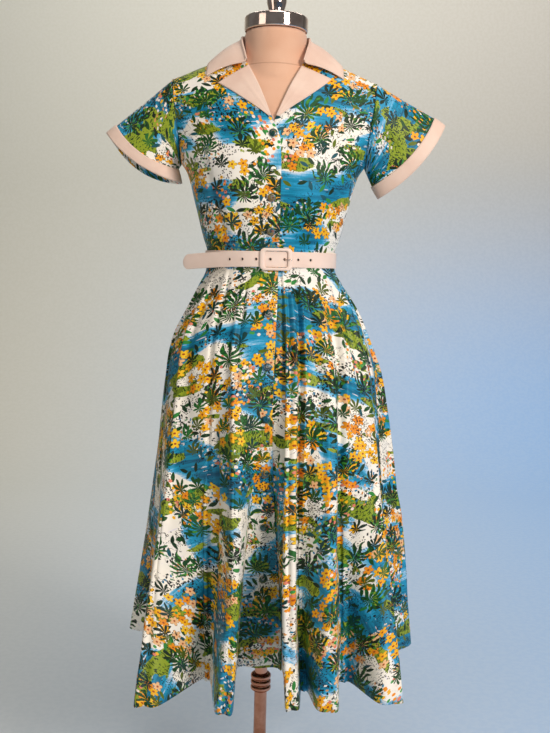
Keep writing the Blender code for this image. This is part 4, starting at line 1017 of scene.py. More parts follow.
PRINT = printed("cotton_print")
SCRAP = printed("button_print", (0.413, 0.171, 0.0), 0.22, 0.72, 0.5)
PALE_SCRAP = printed("pale_button_print", (0.13, 0.71, 0.0), 0.22, 0.0, 0.5)
WHITE = plain_cotton("white_cotton_cloth", "ECD3C2", "DEBEAC", 0.60, 0.0014)
STRAP = plain_cotton("belt_cloth", "F8E2D4", "EAD0C0", 0.50, 0.0005, 0.0005)
JERSEY = knitted("form_jersey")
CHROME = polished("cap_chrome", "F4E4DA", "CBB2A4", 0.05, 0.04)
# Painted shade: the near-black look of the discs inside the belt's holes.
HOLE_SHADE_LOOK = enamel_and_painted_shade("hole_shade", "2A1F1A", "15100D")
STEEL = polished("stand_steel", "D89C80", "B07458", 0.14, 0.08)
EYELET = enamel_and_painted_shade("eyelet_enamel", "F6E0D0", "D9BEAC")
WHITE_THREAD = threads("white_thread", "FFF4EC", "D9C6BA")
PRINT_THREAD = threads("green_thread", "AFC3BF", "7E9C98")

# ---------------------------------------------------------------- bodice
FRONT_COLUMNS, UPPER_ROWS, LOWER_ROWS, BACK_COLUMNS = 44, 44, 34, 88
RIDGE_GAP = 0.0016
PLACKET_CALM, PLACKET_FADE = 0.018, 0.012  # x from which creases set in, and over how far
UNDER_FROM, UNDER_FADE = 0.006, 0.022  # past the lap's edge, where the under front comes out again
PART_FADE = 0.03  # the same, up from where the fronts part


def side_share(k, count):
    """Where a column lies between the middle and the side: closer together at the side."""
    return math.sin(math.pi / 2 * k / count)


def upper_shares():
    return [1 - k / UPPER_ROWS for k in range(UPPER_ROWS)]


def lower_levels():
    return [lerp(ARMPIT_Z, WAIST_Z, k / LOWER_ROWS) for k in range(LOWER_ROWS + 1)]


def sided(points, side):
    return [Vector((point.x * side, point.y, point.z)) for point in points]


def front_rows(side):
    def spread(inner, outer):
        return [lerp(inner, outer, side_share(k, FRONT_COLUMNS)) for k in range(FRONT_COLUMNS + 1)]

    rows = []
    for share in upper_shares():
        xs = spread(read(FRONT_EDGE, "share", "x", share), read(ARMHOLE, "share", "x", share))
        rows.append([shoulder_point(True, x, share) for x in xs])
    for z in lower_levels():
        rows.append([torso_point(True, x, z) for x in spread(-LAP_HALF, read(BODICE, "z", "half_width", z))])
    return [sided(row, side) for row in rows]


def back_rows():
    half = BACK_COLUMNS // 2
    spread = [side_share(k, half) for k in range(half + 1)]
    x_shares = [-share for share in spread[:0:-1]] + spread
    rows = []
    for level in upper_shares():
        row = []
        for x_share in x_shares:
            from_neck = abs(x_share * ARMHOLE[-1].x) / NECK_X
            dip = BACK_NECK_DROP * math.sqrt(1 - from_neck**2) if from_neck < 1 else 0.0
            share = level * (1 - dip)
            row.append(shoulder_point(False, x_share * read(ARMHOLE, "share", "x", share), share))
        rows.append(row)
    for z in lower_levels():
        half_width = read(BODICE, "z", "half_width", z)
        rows.append([torso_point(False, x_share * half_width, z) for x_share in x_shares])
    return rows


def calm_front(point):
    """Creases fade near the placket, where the buttons and the lap lie flat."""
    return smooth((abs(point.x) - PLACKET_CALM) / PLACKET_FADE)


def under_lap(point):
    """How far in the wearer's left front lies, under the lap of the right one."""
    beside_lap = 1 - smooth((point.x - LAP_HALF - UNDER_FROM) / UNDER_FADE)
    return LAP_STEP * beside_lap * (1 - smooth((point.z - LAP_TOP_Z) / PART_FADE))


def bodice_part(name, rows, creases, shift, calm=None, inset=None, start=0):
    def move(row, column):
        point = rows[row][column]
        out = creased(creases, point.x, point.z) * (calm(point) if calm else 1.0)
        return out - (inset(point) if inset else 0.0)

    return cloth(name, PRINT, rows, top_gap=RIDGE_GAP, start=start, shift=shift, move=move)


over_rows, under_rows = front_rows(-1), front_rows(1)
bodice_right = bodice_part("bodice_front_right", over_rows, FRONT_CREASES, (3.42, 0.9), calm_front)
bodice_left = bodice_part("bodice_front_left", under_rows, FRONT_CREASES, (3.58, 0.88), calm_front, under_lap)
bodice_back = bodice_part("bodice_back", back_rows(), BACK_CREASES, (1.31, 0.37), start=BACK_COLUMNS // 2)

# ---------------------------------------------------------------- skirt
SKIRT_ROWS, FINE_PER_FOLD, LAP_STEPS = 92, 16, 10
FOLD_START = -4.5  # the creases' places run from here, once round
# In folds past the lap's edge: where creases set in, and where the under layer comes out again.
SKIRT_CALM, SKIRT_FADE = 0.05, 0.25
SKIRT_UNDER_FROM, SKIRT_UNDER_FADE = 0.12, 0.35
HEM_LINE = 0.004  # how far the dip at the hem's stitches reaches up and down


def fold_places(start, end):
    count = round((end - start) * FINE_PER_FOLD)
    return [lerp(start, end, k / count) for k in range(count + 1)]


def skirt_panel(name, places, shift, start=0, under=False):
    levels = [1 - k / SKIRT_ROWS for k in range(SKIRT_ROWS + 1)]
    rows = [[skirt_point(place, lerp(HEM_Z, WAIST_Z, level)) for place in places] for level in levels]
    across = lengths_across(rows, False, 0)

    def move(row, column):
        before, after = max(0, column - 1), min(len(places) - 1, column + 1)
        unit = (across[row][after] - across[row][before]) / (places[after] - places[before])
        place = (places[column] - FOLD_START) % len(FOLDS) + FOLD_START
        z = rows[row][column].z
        calm = smooth((abs(place) - LAP_EDGE - SKIRT_CALM) / SKIRT_FADE)
        hem = -HEM_FADE * (1 - smooth(abs(z - HEM_Z - HEM_TURN) / HEM_LINE))
        past_lap = smooth((places[column] - LAP_EDGE - SKIRT_UNDER_FROM) / SKIRT_UNDER_FADE)
        inset = LAP_STEP * (1 - past_lap) if under else 0.0
        return SKIRT_DEPTH * creased(SKIRT_CREASES, place, z, unit) * calm + hem - inset

    return cloth(name, PRINT, rows, shift=shift, fan=True, start=start, move=move)


lap = [lerp(-LAP_EDGE, LAP_EDGE, k / LAP_STEPS) for k in range(LAP_STEPS + 1)]
top_places = fold_places(LEFT_SIDE_SEAM - len(FOLDS), -LAP_EDGE)[:-1] + lap
under_places = lap + fold_places(LAP_EDGE, RIGHT_SIDE_SEAM)[1:]
skirt_right = skirt_panel("skirt_front_right", top_places, (0.05, 2.0), start=len(top_places) - 1)
skirt_left = skirt_panel("skirt_front_left", under_places, (1.13, 2.21), under=True)
skirt_back_left = skirt_panel("skirt_back_left", fold_places(RIGHT_SIDE_SEAM, CENTRE_BACK), (2.9, 3.1))
skirt_back_right = skirt_panel("skirt_back_right", fold_places(CENTRE_BACK, LEFT_SIDE_SEAM), (4.2, 2.6))

# ---------------------------------------------------------------- sleeves and cuffs
SLEEVE_STEPS = 64  # round the loop
SLEEVE_ROWS, CUFF_ROWS = 26, 10
SLEEVE_PLACES, SLEEVE_UNIT = 16, 0.026  # the creases' places round a sleeve, and metres for one
SLEEVE_SHIFT = 0.7  # places that the right sleeve's creases lie further round than the left's
CUFF_BULGE = 0.0005


def armhole_loop():
    """Round the armhole from the shoulder point, down the front and up the back."""
    half = SLEEVE_STEPS // 2
    shares = [1 - k / half for k in range(half + 1)]
    front, back = (
        [shoulder_point(is_front, read(ARMHOLE, "share", "x", share), share) for share in shares]
        for is_front in (True, False)
    )
    return front + back[-2:0:-1]


def sleeve_loop(top, bottom, bow_front, bow_back):
    top, bottom = Vector((top[0], SLEEVE_Y, top[1])), Vector((bottom[0], SLEEVE_Y, bottom[1]))
    middle, reach = (top + bottom) / 2, (top - bottom) / 2
    out = Vector((reach.z, 0, -reach.x)).normalized()
    loop = []
    for k in range(SLEEVE_STEPS):
        angle = ROUND * k / SLEEVE_STEPS
        forward = math.sin(angle)
        bow = (bow_front if forward > 0 else bow_back) * forward**2
        side = Vector((0, -SLEEVE_HALF_DEPTH * forward, 0))
        loop.append(middle + reach * math.cos(angle) + side + out * bow)
    return loop


def loops_between(first, last, count, steps):
    return [[a.lerp(b, k / steps) for a, b in zip(first, last)] for k in range(count)]


def make_sleeve(number, sleeve):
    """The sleeve and the cuff round its hem."""
    bows = sleeve.bow_front, sleeve.bow_back
    seam = sleeve_loop(sleeve.seam_top, sleeve.seam_bottom, *bows)
    hem = sleeve_loop(sleeve.hem_top, sleeve.hem_bottom, *bows)
    clear = [a + (b - a).normalized() * SLEEVE_HEAD_GAP for a, b in zip(armhole_loop(), seam)]
    loops = loops_between(clear, seam, SLEEVE_ROWS, SLEEVE_ROWS)
    loops += loops_between(seam, hem, CUFF_ROWS + 1, CUFF_ROWS)
    loops = [sided(loop, sleeve.side) for loop in loops]
    band = loops[SLEEVE_ROWS:]
    middle = sum(band[0], Vector()) / SLEEVE_STEPS
    armhole_middle = Vector((ARMHOLE_MIDDLE[0] * sleeve.side, 0, ARMHOLE_MIDDLE[1]))

    def move(row, column):
        down = 1 - row / SLEEVE_ROWS
        place = (column * SLEEVE_PLACES / SLEEVE_STEPS + SLEEVE_SHIFT * number) % SLEEVE_PLACES
        return creased(SLEEVE_CREASES, place, down, SLEEVE_UNIT) if down > 0 else 0.0

    def cuff_move(row, _):
        return LAY_GAP + FACED_WALL + CUFF_BULGE * math.sin(math.pi * row / CUFF_ROWS)

    made = cloth(
        f"sleeve_{sleeve.name}", PRINT, loops, gap=0, inside=(middle + armhole_middle) / 2,
        closed=True, shift=(0.33 + 0.9 * number, 4.4), move=move,
    )
    cuff = cloth(
        f"cuff_{sleeve.name}", WHITE, band, wall=FACED_WALL, gap=0, inside=middle,
        closed=True, shift=(0.2 + 0.5 * number, 0.0), move=cuff_move,
    )
    return made, cuff


sleeves, cuffs = {}, {}
for number, sleeve in enumerate(SLEEVES):
    sleeves[sleeve.name], cuffs[sleeve.name] = make_sleeve(number, sleeve)

# ---------------------------------------------------------------- collar and lapels
COLLAR_HALF_FINE, LAPEL_FINE = 48, (30, 20)
COLLAR_PARTS = 5  # rows of cloth to each span of a collar's section
SEAM_BACK_PART = 0.6  # share of the half collar's seam that lies behind the shoulder
ROLL_TOP = 0.69  # share of the front edge where the collar's seam ends
FOLD_DEPTH, FOLD_RISE, FALL_BULGE = 0.005, 0.001, 0.004  # of the collar's fold and fall
RIDGE_CLEAR = 0.0002  # the collar's edge stays this far under the shoulder's ridge
LAPEL_SEAM_CLEAR = 0.0008  # the lapel starts this far from the roll line
LAPEL_RIDGE, LAPEL_RIDGE_AT, LAPEL_RIDGE_HALF = 0.0004, 7, 1.6  # its height, column and half width


def neckline_point(share):
    """The neck seam of half the collar, from the centre back to the top of the roll line."""
    if share < SEAM_BACK_PART:
        angle = math.pi / 2 * share / SEAM_BACK_PART
        return shoulder_point(False, NECK_X * math.sin(angle), 1 - BACK_NECK_DROP * math.cos(angle))
    level = lerp(1.0, ROLL_TOP, (share - SEAM_BACK_PART) / (1 - SEAM_BACK_PART))
    return shoulder_point(True, read(FRONT_EDGE, "share", "x", level), level)


def collar_section(share):
    """From the neck seam up the stand, over the fold and down the fall to the edge."""
    fold = Vector(read(COLLAR, "share", column, share) for column in ("fold_x", "fold_y", "fold_z"))
    edge_x = read(COLLAR, "share", "edge_x", share)
    edge_z = read(COLLAR, "share", "edge_z", share)
    lift = read(COLLAR, "share", "above_edge", share) + LAY_GAP + FACED_WALL
    ridge = shoulder_point(True, edge_x, 1).z
    edge = on_shoulder(share > COLLAR_ON_FRONT, edge_x, min(edge_z, ridge - RIDGE_CLEAR), lift)
    stand = neckline_point(share) + UP * COLLAR_SEAM_RISE
    away = Vector((edge.x - fold.x, edge.y - fold.y, 0)).normalized()
    under = fold - UP * FOLD_DEPTH + away * COLLAR_FOLD_GAP
    fall = [under.lerp(edge, t) + UP * (FALL_BULGE * math.sin(math.pi * t)) for t in (0.33, 0.66, 1)]
    over = fold + away * COLLAR_FOLD_GAP * 0.5 + UP * FOLD_RISE
    return [stand, stand.lerp(fold, 0.5), fold, over, under, *fall]


def curve_through(points, parts):
    """Points on a smooth curve through these, with so many parts to each span."""
    made = []
    for i in range(len(points) - 1):
        a, b, c, d = points[max(0, i - 1)], points[i], points[i + 1], points[min(len(points) - 1, i + 2)]
        made += [between(a, b, c, d, k / parts) for k in range(parts)]
    return made + [points[-1].copy()]


shares = [k / COLLAR_HALF_FINE for k in range(COLLAR_HALF_FINE + 1)]
half_collar = [curve_through(collar_section(share), COLLAR_PARTS) for share in shares]
collar = cloth(
    "collar", WHITE, [sided(section, -1) for section in half_collar[:0:-1]] + half_collar,
    wall=FACED_WALL, gap=0, inside=UP * COLLAR_INSIDE_Z, shift=(0.0, 1.2),
)


def lapel_rows(name, side):
    count, across = LAPEL_FINE
    last = len(LAPEL) - 1
    made = []
    for i in range(count + 1):
        at = i / count * last
        low = min(last - 1, math.floor(at))
        near = [LAPEL[max(0, min(last, low + k))] for k in (-1, 0, 1, 2)]
        roll_share, edge_x, edge_z = (
            between(*(getattr(row, column) for row in near), at - low)
            for column in ("roll_share", "edge_x", "edge_z")
        )
        up = at / last
        roll_x = read(FRONT_EDGE, "share", "x", roll_share)
        roll_z = shoulder_point(True, roll_x, roll_share).z
        edge_z += LAPEL_DROP[name] * up**2
        row = []
        for k in range(across + 1):
            t = k / across
            x, z = lerp(roll_x, edge_x, t), lerp(roll_z, edge_z, t)
            lift = LAY_GAP + FACED_WALL + LAPEL_ROLL_RISE * (1 - t) * up
            row.append(on_shoulder(True, x + LAPEL_SEAM_CLEAR * (1 - t), z, lift))
        made.append(sided(row, side))
    return made[::-1]


def lapel_ridge(_, column):
    """A faint ridge where the cloth turns over inside the lapel's roll."""
    return LAPEL_RIDGE * math.exp(-(((column - LAPEL_RIDGE_AT) / LAPEL_RIDGE_HALF) ** 2))


lapels = {}
for name, side in (("right", -1), ("left", 1)):
    lapels[name] = cloth(
        f"lapel_{name}", WHITE, lapel_rows(name, side), wall=FACED_WALL, gap=0,
        inside=UP * LAPEL_INSIDE_Z, shift=(0.4 * side, 0.7), move=lapel_ridge,
    )

# ---------------------------------------------------------------- belt and buckle
CRISP = math.radians(35)  # an edge sharper than this shows as one
ARC_STEP = 0.0005  # radians
STRAP_STEPS, STRAP_STEP, TIP_STEP, TIP_RADIUS = 150, 0.003, 0.0008, 0.012
EYELET_INNER, EYELET_OUTER, EYELET_HEIGHT = 0.0023, 0.0036, 0.0005
EYELET_SIDES, HOLE_SIDES, ROD_SIDES = 32, 24, 16
END_BEND = 0.6  # how fast the free end bends back towards the body
FLAT_PART, ROUND_PART = 0.45, 0.55  # of half the strap's wall, at its soft edges
CUTTER_OUT = 0.004  # how far a hole's cutter stands out of the strap


def waist_plan(angle, out):
    """The waist's section at an angle from the front, moved out; and its direction out."""
    row = BODICE[0]
    point = Vector((row.half_width * math.sin(angle), -math.cos(angle), 0))
    deep = row.front if point.y < 0 else row.back
    point.y *= deep
    normal = Vector((point.x / row.half_width**2, point.y / deep**2, 0)).normalized()
    return point + normal * out, normal


def angle_at(length):
    """The angle whose arc from the centre front is length; to the viewer's right is +."""
    way = 1 if length > 0 else -1
    angle, gone = 0.0, 0.0
    while abs(gone) < abs(length):
        here, there = (waist_plan(angle + more, BELT_OUTER)[0] for more in (0.0, ARC_STEP * way))
        gone += (there - here).length * way
        angle += ARC_STEP * way
    return angle


LEAVING = angle_at(BELT_LEAVES)


def on_belt(length, height, out):
    """A place on the strap's outer turn: along it, up it, and out from the waist."""
    if length >= BELT_LEAVES:
        plan, _ = waist_plan(angle_at(length), out)
    else:
        plan, normal = waist_plan(LEAVING, out)
        past = BELT_LEAVES - length
        along = Vector((normal.y, -normal.x, 0))
        plan = plan + along * past - normal * (END_BEND * past**2)
    gone = max(0.0, -length / -BELT_END)
    return Vector((plan.x, plan.y, WAIST_Z + height - BELT_TIP_DROP * gone**2))


def strap_section(middle, normal, half_height):
    """A strap's section with soft edges, from its inner side up and round."""
    thick = BELT_WALL / 2
    soft = min(thick, half_height)
    points = []
    for quarter, (up, out) in enumerate(((-1, 1), (1, 1), (1, -1), (-1, -1))):
        for k in range(4):
            angle = math.pi / 2 * (k / 3)
            rise, bulge = math.cos(angle), math.sin(angle)
            if quarter in (1, 3):
                rise, bulge = bulge, rise
            height = up * (half_height - soft + soft * rise)
            depth = out * (thick * FLAT_PART + thick * ROUND_PART * bulge)
            points.append(middle + UP * height + normal * depth)
    return points


def loft(name, rings, look, joined=False):
    """A closed body through rings of points; joined means that the last meets the first."""
    width, count = len(rings[0]), len(rings)
    ahead = running([ring[0] for ring in rings] + [rings[0][0]])
    around = running(rings[count // 2] + rings[count // 2][:1])
    faces, spots = [], []
    for i in range(count if joined else count - 1):
        j = (i + 1) % count
        for k in range(width):
            n = (k + 1) % width
            faces.append([i * width + k, i * width + n, j * width + n, j * width + k])
            spots += [(ahead[i], around[k]), (ahead[i], around[k + 1])]
            spots += [(ahead[i + 1], around[k + 1]), (ahead[i + 1], around[k])]
    for i, way in () if joined else ((0, -1), (count - 1, 1)):
        faces.append([i * width + k for k in range(width)][::way])
        spots += [(ahead[i], around[k]) for k in range(width)][::way]
    return faced_out(add_piece(name, [point for ring in rings for point in ring], faces, look, spots))


def tube(name, points, radius, sides, across, look):
    """A closed round rod through points that lie in one plane; across is square to it."""
    angles = [ROUND * (k + 0.5) / sides for k in range(sides)]
    rings = []
    for i, point in enumerate(points):
        ahead = (points[min(i + 1, len(points) - 1)] - points[max(i - 1, 0)]).normalized()
        other = ahead.cross(across).normalized()
        rings.append([point + (across * math.cos(a) + other * math.sin(a)) * radius for a in angles])
    return loft(name, rings, look)


def frozen(piece):
    """The piece with its modifiers made into its mesh."""
    bpy.context.view_layer.update()
    made = bpy.data.meshes.new_from_object(piece.evaluated_get(bpy.context.evaluated_depsgraph_get()))
    piece.modifiers.clear()
    piece.data = made
    made.shade_smooth()
    return piece


def cut_by(piece, cutters, operation="DIFFERENCE"):
    for cutter in cutters:
        boolean = piece.modifiers.new(cutter.name, "BOOLEAN")
        boolean.operation, boolean.object = operation, cutter
    frozen(piece).data.set_sharp_from_angle(angle=CRISP)
    for cutter in cutters:
        bpy.data.objects.remove(cutter)


def joined_mesh(name, parts, look):
    """One object from several pieces, which are removed."""
    points, faces, spots = [], [], []
    for part in parts:
        start = len(points)
        points += [vertex.co.copy() for vertex in part.data.vertices]
        faces += [[start + k for k in face.vertices] for face in part.data.polygons]
        spots += [tuple(loop.uv) for loop in part.data.uv_layers[0].data]
        bpy.data.objects.remove(part)
    return add_piece(name, points, faces, look, spots)


def strap_rings():
    """The strap's sections: once round the waist, then up over its own start and on to its tip."""
    rings = []
    start, rise_from = angle_at(BUCKLE_AT - 0.005), angle_at(BELT_RISE_FROM)
    for k in range(STRAP_STEPS + 1):
        middle, normal = waist_plan(lerp(start, rise_from - ROUND, k / STRAP_STEPS), BELT_INNER)
        middle.z = WAIST_Z
        rings.append(strap_section(middle, normal, BELT_HEIGHT / 2))
    length = BELT_RISE_FROM - STRAP_STEP
    while length > BELT_END:
        climbed = smooth((BELT_RISE_FROM - length) / (BELT_RISE_FROM - BELT_RISE_TO))
        out = lerp(BELT_INNER, BELT_OUTER, climbed)
        middle = on_belt(length, 0, out)
        ahead = on_belt(length - 0.001, 0, out) - on_belt(length + 0.001, 0, out)
        normal = Vector((ahead.y, -ahead.x, 0)).normalized()
        if normal.dot(Vector((middle.x, middle.y, 0))) < 0:
            normal = -normal
        to_end = length - BELT_END
        half = BELT_HEIGHT / 2
        if to_end < TIP_RADIUS:
            half *= math.sqrt(max(0.02, 1 - ((TIP_RADIUS - to_end) / TIP_RADIUS) ** 2))
        rings.append(strap_section(middle, normal, half))
        length -= STRAP_STEP if to_end > TIP_RADIUS + STRAP_STEP else TIP_STEP
    return rings


def ring_at(middle, out):
    """A flat round eyelet rim, as rings of points round its section."""
    across = out.cross(UP).normalized()
    up = across.cross(out).normalized()
    rings = []
    for k in range(EYELET_SIDES):
        angle = ROUND * k / EYELET_SIDES
        away = across * math.cos(angle) + up * math.sin(angle)
        section = []
        for m in range(8):
            turn = ROUND * m / 8
            reach = lerp(EYELET_INNER, EYELET_OUTER, 0.5) + (EYELET_OUTER - EYELET_INNER) / 2 * math.cos(turn)
            section.append(middle + away * reach + out * (EYELET_HEIGHT * (math.sin(turn) * 0.5 + 0.35)))
        rings.append(section)
    return rings


def make_belt():
    belt = loft("cloth_belt", strap_rings(), STRAP)
    cutters, rims, painted_hole_shades = [], [], []
    for number in HOLES:
        at = number * HOLE_PITCH
        strap = BELT_OUTER if at < BELT_RISE_TO else BELT_INNER
        near = on_belt(at, 0, strap - BELT_WALL / 2 - HOLE_PAST)
        far = on_belt(at, 0, strap + CUTTER_OUT)
        out = (far - near).normalized()
        cutters.append(tube(f"cutter_{number}", [near, far], HOLE_RADIUS, HOLE_SIDES, UP, STRAP))
        # A near-black disc inside each hole: painted shade for the hole's depth.
        painted_hole_shade = [near + out * 0.0002, near + out * 0.0009]
        painted_hole_shades.append(tube(f"lining_{number}", painted_hole_shade, HOLE_RADIUS - 0.0001, HOLE_SIDES, UP, HOLE_SHADE_LOOK))
        rim = ring_at(on_belt(at, 0, strap + BELT_WALL / 2), out)
        rims.append(loft(f"rim_{number}", rim, EYELET, joined=True))
    cut_by(belt, cutters)
    keep(joined_mesh("belt_hole_linings", painted_hole_shades, HOLE_SHADE_LOOK), None)
    keep(joined_mesh("belt_eyelets", rims, EYELET), None)
    keep(belt, "belt")


def rounded_outline(half, corner):
    """A rounded rectangle's outline, from half sizes, with the same count for any size."""
    points = []
    for quarter, (sign_x, sign_y) in enumerate(((1, 1), (-1, 1), (-1, -1), (1, -1))):
        for k in range(13):
            angle = math.pi / 2 * (quarter + k / 12)
            x = sign_x * (half[0] - corner) + corner * math.cos(angle)
            points.append((x, sign_y * (half[1] - corner) + corner * math.sin(angle)))
    return points


def make_buckle():
    half = BUCKLE_WALL / 2
    turns = [math.pi * k / 8 for k in range(1, 8)]
    profile = [(0.0, -half), (0.0, 0.2 * half)]
    profile += [(0.5 - 0.5 * math.cos(turn), (0.2 + 0.8 * math.sin(turn)) * half) for turn in turns]
    profile += [(1.0, 0.2 * half), (1.0, -half)]
    outer = rounded_outline(BUCKLE_OUTER, BUCKLE_OUTER_CORNER)
    inner = rounded_outline(BUCKLE_OPENING, BUCKLE_OPENING_CORNER)
    rings = []
    for (x_out, y_out), (x_in, y_in) in zip(outer, inner):
        ring = [(lerp(x_in, x_out, s), lerp(y_in, y_out, s), BUCKLE_OUT + up) for s, up in profile]
        rings.append([on_belt(BUCKLE_AT + x, y, out) for x, y, out in ring])
    buckle = loft("covered_buckle", rings, STRAP, joined=True)
    reach = BUCKLE_OPENING[1] + BAR_INTO_FRAME
    down_one_side = [(reach, BUCKLE_OUT), (reach, BAR_OUT + 0.0012), (reach - 0.0008, BAR_OUT)]
    route = down_one_side + [(-height, out) for height, out in down_one_side[::-1]]
    points = [on_belt(BUCKLE_AT, height, out) for height, out in route]
    cut_by(buckle, [tube("bar", points, BAR_RADIUS, ROD_SIDES, Vector((1, 0, 0)), STRAP)], "UNION")
    keep(buckle, "buckle")
    beside_bar = BUCKLE_AT + BAR_RADIUS + PRONG_RADIUS + PRONG_GAP
    points = [on_belt(beside_bar, 0, PRONG_ROUTE[0].out)]
    points += [on_belt(HOLE_PITCH + step.past_hole, 0, step.out) for step in PRONG_ROUTE]
    prong = tube("steel_prong", curve_through(points, 4), PRONG_RADIUS, ROD_SIDES, UP, CHROME)
    keep(prong, "buckle_prong")


make_belt()
make_buckle()


# ---------------------------------------------------------------- turned pieces
def turned(name, profile, look, steps=96, centre=(0.0, 0.0), closed=False):
    """A turned piece; profile is (radius, height) down its outer side, and round it if closed."""
    width = len(profile)
    run = [0.0]
    for a, b in zip(profile, profile[1:] + profile[:1]):
        run.append(run[-1] + math.dist(a, b))
    places, points, faces, spots = {}, [], [], []
    for k in range(steps):
        for i in range(width if closed else width - 1):
            corners = {}
            for turn, down in ((k, i), (k, i + 1), (k + 1, i + 1), (k + 1, i)):
                radius, z = profile[down % width]
                at = (down % width, turn % steps if radius else 0)
                if at not in places:
                    angle = ROUND * at[1] / steps
                    x, y = radius * math.cos(angle) + centre[0], radius * math.sin(angle) + centre[1]
                    places[at] = len(points)
                    points.append((x, y, z))
                shown = max(profile[min(down, width - 1)][0], 0.001)
                corners.setdefault(places[at], (ROUND * turn / steps * shown, run[down]))
            if len(corners) > 2:
                faces.append(list(corners))
                spots += corners.values()
    return faced_out(add_piece(name, points, faces, look, spots))


def eased(profile, radius, parts=4):
    """The profile with its corners rounded."""
    made = [profile[0]]
    for corner in zip(profile, profile[1:], profile[2:]):
        a, b, c = (Vector((*point, 0)) for point in corner)
        cut = min(radius, (a - b).length * 0.45, (c - b).length * 0.45)
        start, end = b + (a - b).normalized() * cut, b + (c - b).normalized() * cut
        for k in range(parts + 1):
            t = k / parts
            point = start * (1 - t) ** 2 + b * (2 * t * (1 - t)) + end * t * t
            made.append((point.x, point.y))
    return made + [profile[-1]]


PALE_BUTTON = 2
BUTTON_REACH = 0.003  # how far round its middle a button reads the cloth's slope


def make_buttons():
    places = [(bodice_right, z) for z in BODICE_BUTTONS_Z] + [(skirt_right, z) for z in SKIRT_BUTTONS_Z]
    radius, height = BUTTON_RADIUS, BUTTON_HEIGHT
    profile = [(0.0, height)]
    for k in range(1, 11):
        angle = math.pi / 2 * k / 10
        profile.append((radius * math.sin(angle), height * (0.42 + 0.58 * math.cos(angle))))
    profile += [(radius * r, height * z) for r, z in ((0.96, 0.24), (0.86, 0.15), (0.34, 0.0), (0.0, 0.0))]
    bpy.context.view_layer.update()
    for number, (panel, z) in enumerate(places, 1):
        face = panel.piece.evaluated_get(bpy.context.evaluated_depsgraph_get())
        here = face.ray_cast(Vector((0, -1, z)), BACKWARDS)[1]
        near = ((-BUTTON_REACH, 0), (BUTTON_REACH, 0), (0, -BUTTON_REACH), (0, BUTTON_REACH))
        outs = [face.ray_cast(Vector((x, -1, z + up)), BACKWARDS)[2] for x, up in near]
        out = sum(outs, Vector()).normalized()
        look = PALE_SCRAP if number == PALE_BUTTON else SCRAP
        button = turned(f"covered_button_{number}", profile, look, steps=40)
        place = Matrix.Translation(here + out * BUTTON_GAP) @ out.to_track_quat("Z", "Y").to_matrix().to_4x4()
        button.data.transform(place)
        for loop in button.data.uv_layers[0].data:
            loop.uv = (loop.uv[0] + 0.037 * number, loop.uv[1] + 0.061 * number * number)
        keep(button, f"button_{number}")


make_buttons()

# ---------------------------------------------------------------- form and stand
FORM_STEPS, FORM_UPPER_ROWS, FORM_PARTS = 36, 40, 4
FORM_LEVELS = (1.092, 1.120, 1.150, 1.180, 1.205, 1.225, ARMPIT_Z)
SKIN_VOXEL, SKIN_EASE_STEPS = 0.004, 9
# Outlines as (radius, height); the neck's radii are beyond its own, and the knob's heights above its foot.
NECK_OUTLINE = ((-0.0007, 1.470), (-0.0020, 1.450), (-0.0005, 1.425), (0.0035, 1.405), (-0.010, 1.385))
KNOB = (
    (0.0, 0.043), (0.0100, 0.041), (0.0165, 0.035), (0.0186, 0.027), (0.0180, 0.019), (0.0152, 0.009),
    (0.0150, 0.005), (0.0166, 0.002), (0.0166, 0.0), (0.0, 0.0),
)
STAND_GAP, BASE_TOP = 0.0003, 0.030
RING_RADIUS, RING_WAIST, RING_HEIGHT, RING_TOP, RING_COUNT = 0.0202, 0.0165, 0.0117, 0.2630, 3


def form_ring_lower(row_z, rows):
    half = read(rows, "z", "half_width", row_z)
    xs = [side_share(k, FORM_STEPS) * half for k in range(FORM_STEPS + 1)]
    front = [torso_point(True, x, row_z, rows, with_bust=rows is BODICE) for x in xs]
    return front, [torso_point(False, x, row_z, rows) for x in xs]


def form_ring_upper(share):
    edge = read(ARMHOLE, "share", "x", share) - FORM_ARM_X * smooth(share / 0.1)
    xs = [side_share(k, FORM_STEPS) * edge for k in range(FORM_STEPS + 1)]
    return [shoulder_point(True, x, share) for x in xs], [shoulder_point(False, x, share) for x in xs]


def spread_levels(levels):
    made = []
    for a, b in zip(levels, levels[1:]):
        made += [lerp(a, b, k / FORM_PARTS) for k in range(FORM_PARTS)]
    return made + [levels[-1]]


def make_form():
    """The torso under the clothes and the neck, joined under one skin."""
    halves = [form_ring_lower(z, FORM_LOWER) for z in spread_levels([row.z for row in FORM_LOWER])]
    halves += [form_ring_lower(z, BODICE) for z in spread_levels(FORM_LEVELS)]
    halves += [form_ring_upper(k / FORM_UPPER_ROWS) for k in range(1, FORM_UPPER_ROWS + 1)]
    rings = []
    for front, back in halves:
        right_half = front + [(front[-1] + back[-1]) / 2] + back[::-1]
        rings.append(right_half + sided(right_half[-2:0:-1], -1))
    torso = loft("form_body", rings, JERSEY)
    for vertex, out in zip(torso.data.vertices, normals(torso.data)):
        z = vertex.co.z
        clear = FORM_CLEAR * smooth((z - FORM_CLEAR_FROM) / (FORM_CLEAR_TO - FORM_CLEAR_FROM))
        near_top = smooth((z - FORM_SHOULDER_FROM) / (FORM_SHOULDER_TO - FORM_SHOULDER_FROM))
        vertex.co -= out * lerp(clear, FORM_CLEAR_SHOULDER, near_top)
    top = CAP_BOTTOM_Z - STAND_GAP
    profile = [(0.0, top), (NECK_RADIUS - 0.003, top), (NECK_RADIUS, CAP_BOTTOM_Z - 0.003)]
    profile += [(NECK_RADIUS + more, z) for more, z in NECK_OUTLINE] + [(0.0, 1.370)]
    neck = turned("neck", profile, JERSEY, centre=(0.0, NECK_Y))
    form = joined_mesh("form_body", [torso, neck], JERSEY)
    skin = form.modifiers.new("skin", "REMESH")
    skin.mode, skin.voxel_size = "VOXEL", SKIN_VOXEL
    ease = form.modifiers.new("ease", "SMOOTH")
    ease.factor, ease.iterations = 0.5, SKIN_EASE_STEPS
    keep(frozen(form), "form_torso")


